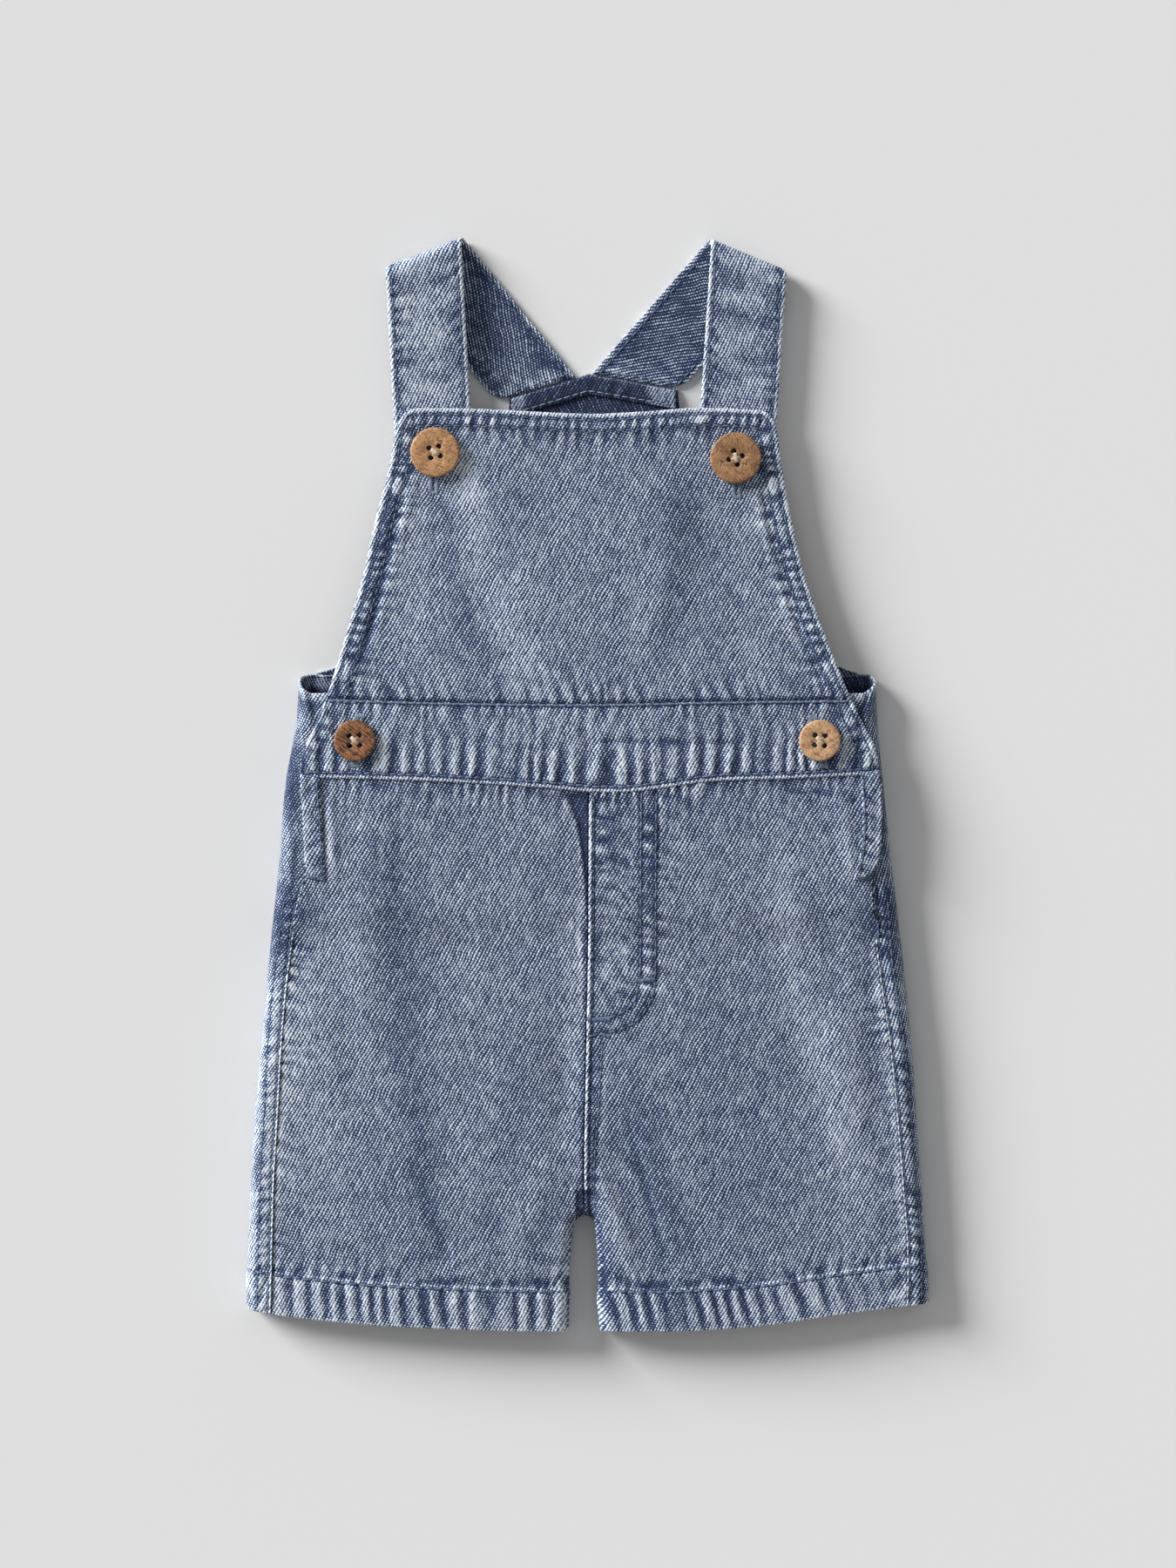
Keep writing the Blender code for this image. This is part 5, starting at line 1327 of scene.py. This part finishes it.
tackRows = [  # from, to, reach, width, seed
    ((17.3, -72.6), (24.4, -72.0), 1.7, 0.5, 22), ((-0.6, -86.9), (8.2, -86.4), 1.8, 0.5, 23),
    ((5.4, -92.4), (8.0, -92.8), 1.4, 0.5, 24),
]
for side in (-1, 1):
    tackX = float(curveAt(frontEdge, -34.0, 1 if side < 0 else 2))
    tackRows.append(((tackX - side * 1.2, -34.6), (tackX - side * 6.2, -34.9), 1.3, 0.45, 25))
tacks = []
for start, end, reach, width, seed in tackRows:
    tacks += sewAcross([start, end], reach, 0.42, width, seed)
sewn("barTacks", tacks)

buttonholes = (  # x, y of the low end, x, y of the high end, half width, seed
    (-56.6, 106.4, -56.6, 128.0, 1.1, 31), (54.6, 104.9, 54.6, 126.0, 1.1, 32),
    (-85.4, 6.4, -83.6, 24.4, 0.75, 33), (86.4, 6.0, 82.4, 24.2, 0.75, 34),
)
holeEnds = ((-83.4, 24.4, 35), (-85.5, 6.6, 36), (82.3, 24.0, 37), (86.5, 6.4, 38))  # x, y, seed
holes = []
for lowX, lowY, highX, highY, half, seed in buttonholes:
    turn = np.radians(np.linspace(180.0, 360.0, 9))
    low = [(lowX + half * math.cos(a), lowY + half + half * math.sin(a)) for a in turn]
    high = [(highX - half * math.cos(a), highY - half - half * math.sin(a)) for a in turn]
    holes += sewAcross(along(low + high + low[:1], 0.4), 1.5, 0.4, 0.42, seed, 0.55)
for x, y, seed in holeEnds:
    holes += sewAcross([(x - 1.6, y), (x + 1.6, y)], 1.9, 0.4, 0.42, seed, 0.6)
sewn("buttonholeStitches", holes, paleThread)
print("sewing done")


# Buttons of coconut shell
buttonShape = {"holeCircle": 2.5, "holeRadius": 0.98, "dish": 0.35, "rounding": 0.7, "thread": 3.7}
buttonLooks = {
    "button_bib_left": {"turn": 55.0, "grain": 0.4, "streak": 0.4, "light": (0.600, 0.335, 0.150),
                        "dark": (0.250, 0.112, 0.046)},
    "button_bib_right": {"turn": 15.0, "grain": 1.9, "streak": 0.3, "light": (0.430, 0.225, 0.098),
                         "dark": (0.140, 0.062, 0.027)},
    "button_waist_left": {"turn": 48.0, "grain": 0.6, "streak": 2.0, "light": (0.400, 0.165, 0.062),
                          "dark": (0.056, 0.022, 0.010)},
    "button_waist_right": {"turn": 42.0, "grain": 0.9, "streak": 0.4, "light": (0.680, 0.425, 0.230),
                           "dark": (0.290, 0.140, 0.068)},
}


def coconutMaterial(name, look, centre):
    made, tree, shader = newMaterial(name, 0.42, Coat_Weight=0.15, Coat_Roughness=0.35)
    addNode(tree, "ShaderNodeTexCoord")
    place = tree.nodes[-1].outputs["Object"]
    grain = addNode(tree, "ShaderNodeMapping", {0: place, 1: tuple(-c for c in centre)})
    grain = addNode(tree, "ShaderNodeMapping",
                    {0: grain, 2: (0.0, 0.0, look["grain"]), 3: (1000.0, 1000.0, 1000.0)})
    blotch = addNode(tree, "ShaderNodeTexNoise",
                     {"Vector": grain, "Scale": 0.3, "Detail": 4.0, "Roughness": 0.6})
    fleck = addNode(tree, "ShaderNodeTexNoise",
                    {"Vector": grain, "Scale": 1.7, "Detail": 3.0, "Roughness": 0.7})

    def veins(scale, stretch, width):
        stretched = addNode(tree, "ShaderNodeMapping", {0: grain, 3: stretch})
        field = addNode(tree, "ShaderNodeTexNoise",
                        {"Vector": stretched, "Scale": scale, "Detail": 1.5, "Distortion": 0.8})
        away = sums(tree, "ABSOLUTE", sums(tree, "SUBTRACT", field, 0.5), 0.0)
        away = addNode(tree, "ShaderNodeMapRange", {0: away, 1: width * 0.3, 2: width})
        return sums(tree, "SUBTRACT", 1.0, away)

    streak = addNode(tree, "ShaderNodeMapping", {0: grain, 3: (0.22, 2.4, 1.0)})
    streak = addNode(tree, "ShaderNodeTexNoise", {"Vector": streak, "Scale": 0.9, "Detail": 3.0})
    strong = addNode(tree, "ShaderNodeMapRange", {0: blotch, 1: 0.42, 2: 0.56})
    line = sums(tree, "MULTIPLY", veins(0.42, (0.35, 1.0, 0.5), 0.016), strong)
    line = sums(tree, "MAXIMUM", line, sums(tree, "MULTIPLY", veins(0.33, (1.0, 0.5, 0.5), 0.014), 0.9))
    level = sums(tree, "ADD", sums(tree, "MULTIPLY", blotch, 1.05), sums(tree, "MULTIPLY", fleck, 0.85))
    level = sums(tree, "SUBTRACT", level, 0.48)
    streak = sums(tree, "MULTIPLY", sums(tree, "SUBTRACT", streak, 0.5), look["streak"])
    level = sums(tree, "ADD", level, streak)
    level = sums(tree, "SUBTRACT", level, sums(tree, "MULTIPLY", line, 0.45))
    middle = tuple((a + b) / 2 * 1.08 for a, b in zip(look["light"], look["dark"]))
    colour = rampOf(tree, level, ((0.22, look["dark"]), (0.45, middle), (0.66, look["light"])))
    tree.links.new(colour, shader.inputs["Base Color"])
    raised = addNode(tree, "ShaderNodeBump", {"Height": level, "Distance": 0.0004, "Strength": 0.6})
    tree.links.new(raised, shader.inputs["Normal"])
    return made


def pickFaces(piece, test):
    bpy.ops.object.mode_set(mode="EDIT")
    mesh = bmesh.from_edit_mesh(piece.data)
    for face in mesh.faces:
        face.select_set(bool(test(face)))
    mesh.select_flush_mode()
    bmesh.update_edit_mesh(piece.data)


def bevelEdges(piece, width, segments, angle):
    rounding = piece.modifiers.new("rounding", "BEVEL")
    rounding.width = width * mm
    rounding.segments = segments
    rounding.limit_method = "ANGLE"
    rounding.angle_limit = math.radians(angle)
    bpy.ops.object.modifier_apply(modifier="rounding")


def makeButton(node, look):
    low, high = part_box(node)
    centre = [(a + b) / 2 for a, b in zip(low, high)]
    radius, thick = (high[0] - low[0]) / 2, high[2] - low[2]
    holeCircle, holeRadius, dish = (buttonShape[key] * mm for key in ("holeCircle", "holeRadius", "dish"))
    name = node.replace("button_", "button").replace("bib", "Bib").replace("waist", "Waist").replace("_", "")
    bpy.ops.mesh.primitive_cylinder_add(vertices=80, radius=radius, depth=thick, location=centre)
    piece = bpy.context.object
    piece.name = piece.data.name = name
    bpy.ops.object.transform_apply(location=True)
    pickFaces(piece, lambda face: face.normal.z > 0.9)
    bpy.ops.mesh.inset(thickness=radius * 0.3)
    bpy.ops.mesh.inset(thickness=radius * 0.12)
    bpy.ops.transform.translate(value=(0.0, 0.0, -dish))
    bpy.ops.object.mode_set(mode="OBJECT")
    bevelEdges(piece, buttonShape["rounding"], 4, 60.0)

    cutters = []
    for k in range(4):
        angle = math.radians(look["turn"] + 90.0 * k)
        x, y = centre[0] + holeCircle * math.cos(angle), centre[1] + holeCircle * math.sin(angle)
        bpy.ops.mesh.primitive_cylinder_add(
            vertices=24, radius=holeRadius, depth=thick * 2, location=(x, y, centre[2]))
        cutters.append(bpy.context.object)
    for cutter in cutters:
        cutter.select_set(True)
    bpy.context.view_layer.objects.active = cutters[0]
    bpy.ops.object.join()
    cutter = bpy.context.object
    cutter.select_set(False)
    piece.select_set(True)
    bpy.context.view_layer.objects.active = piece
    drilled = piece.modifiers.new("holes", "BOOLEAN")
    drilled.operation = "DIFFERENCE"
    drilled.object = cutter
    bpy.ops.object.modifier_apply(modifier="holes")
    bpy.data.objects.remove(cutter)
    bevelEdges(piece, 0.16, 2, 60.0)
    edge = np.array([v.co[:] for v in piece.data.vertices])
    out = np.hypot(edge[:, 0] - centre[0], edge[:, 1] - centre[1])
    angle = np.arctan2(edge[:, 1] - centre[1], edge[:, 0] - centre[0])
    atRim = smooth((out / radius - 0.8) * 8.0)
    uneven = 1.0 - 0.006 * (1.0 + patches(angle * 6.0, out * 0.0, 2.0, 7)) * atRim
    for v, share in zip(piece.data.vertices, uneven):
        v.co.x = centre[0] + (v.co.x - centre[0]) * share
        v.co.y = centre[1] + (v.co.y - centre[1]) * share
    piece.data.materials.clear()
    piece.data.materials.append(coconutMaterial(name, look, centre))
    finishPiece(piece, node)
    bpy.ops.object.select_all(action="DESELECT")

    top = np.array([centre[0], centre[1], high[2] - dish]) / mm
    strands = []
    draw = random.Random(41)
    for k in (0, 1):
        angle = math.radians(look["turn"] + 90.0 * k)
        ahead = np.array([math.cos(angle), math.sin(angle), 0.0])
        aside = np.array([-ahead[1], ahead[0], 0.0])
        for offset in (-0.36, 0.0, 0.36):
            lift = np.array([0.0, 0.0, 0.30 + 0.30 * k - 0.25 * abs(offset)])
            middle = top + aside * offset * draw.uniform(0.9, 1.1) + lift
            strands.append((middle, ahead, np.array([0.0, 0.0, 1.0]), buttonShape["thread"], 0.55))
    sewn(name + "Thread", strands, creamThread)


bpy.ops.object.select_all(action="DESELECT")
for node, look in buttonLooks.items():
    makeButton(node, look)
print("buttons made")


# Studio: a pale floor, one broad light from the upper left, and a camera straight above
studio = {"floor": 4.0, "floorGrey": 0.78, "sunPower": 5.25, "sunAngle": 28.0, "sunFrom": (-0.95, 0.60, 0.42),
          "fill": 0.35, "cameraHeight": 1.92, "faceHeight": 0.008, "lens": 120.0, "film": 36.0,
          "centreY": -0.00032}

bpy.ops.mesh.primitive_grid_add(x_subdivisions=8, y_subdivisions=8, size=studio["floor"])
floor = bpy.context.object
floor.name = floor.data.name = "floor"
floorLook, _, floorShader = newMaterial("paleFloor", 0.9)
floorShader.inputs["Base Color"].default_value = (studio["floorGrey"],) * 3 + (1.0,)
floor.data.materials.append(floorLook)
floor.select_set(False)

sunData = bpy.data.lights.new("sun", "SUN")
sunData.energy = studio["sunPower"]
sunData.angle = math.radians(studio["sunAngle"])
sun = bpy.data.objects.new("sun", sunData)
bpy.context.collection.objects.link(sun)
sun.rotation_euler = Vector(studio["sunFrom"]).to_track_quat("Z", "Y").to_euler()

world = bpy.data.worlds.new("studio")
world.use_nodes = True
world.node_tree.nodes["Background"].inputs["Color"].default_value = (1.0, 1.0, 1.0, 1.0)
world.node_tree.nodes["Background"].inputs["Strength"].default_value = studio["fill"]
bpy.context.scene.world = world

cameraData = bpy.data.cameras.new("camera")
cameraData.sensor_fit = "VERTICAL"
cameraData.sensor_height = studio["film"]
cameraData.lens = studio["lens"]
camera = bpy.data.objects.new("camera", cameraData)
bpy.context.collection.objects.link(camera)
camera.location = (0.0, studio["centreY"], studio["faceHeight"] + studio["cameraHeight"])
bpy.context.scene.camera = camera
bpy.context.scene.view_settings.view_transform = "Standard"
print("studio set")
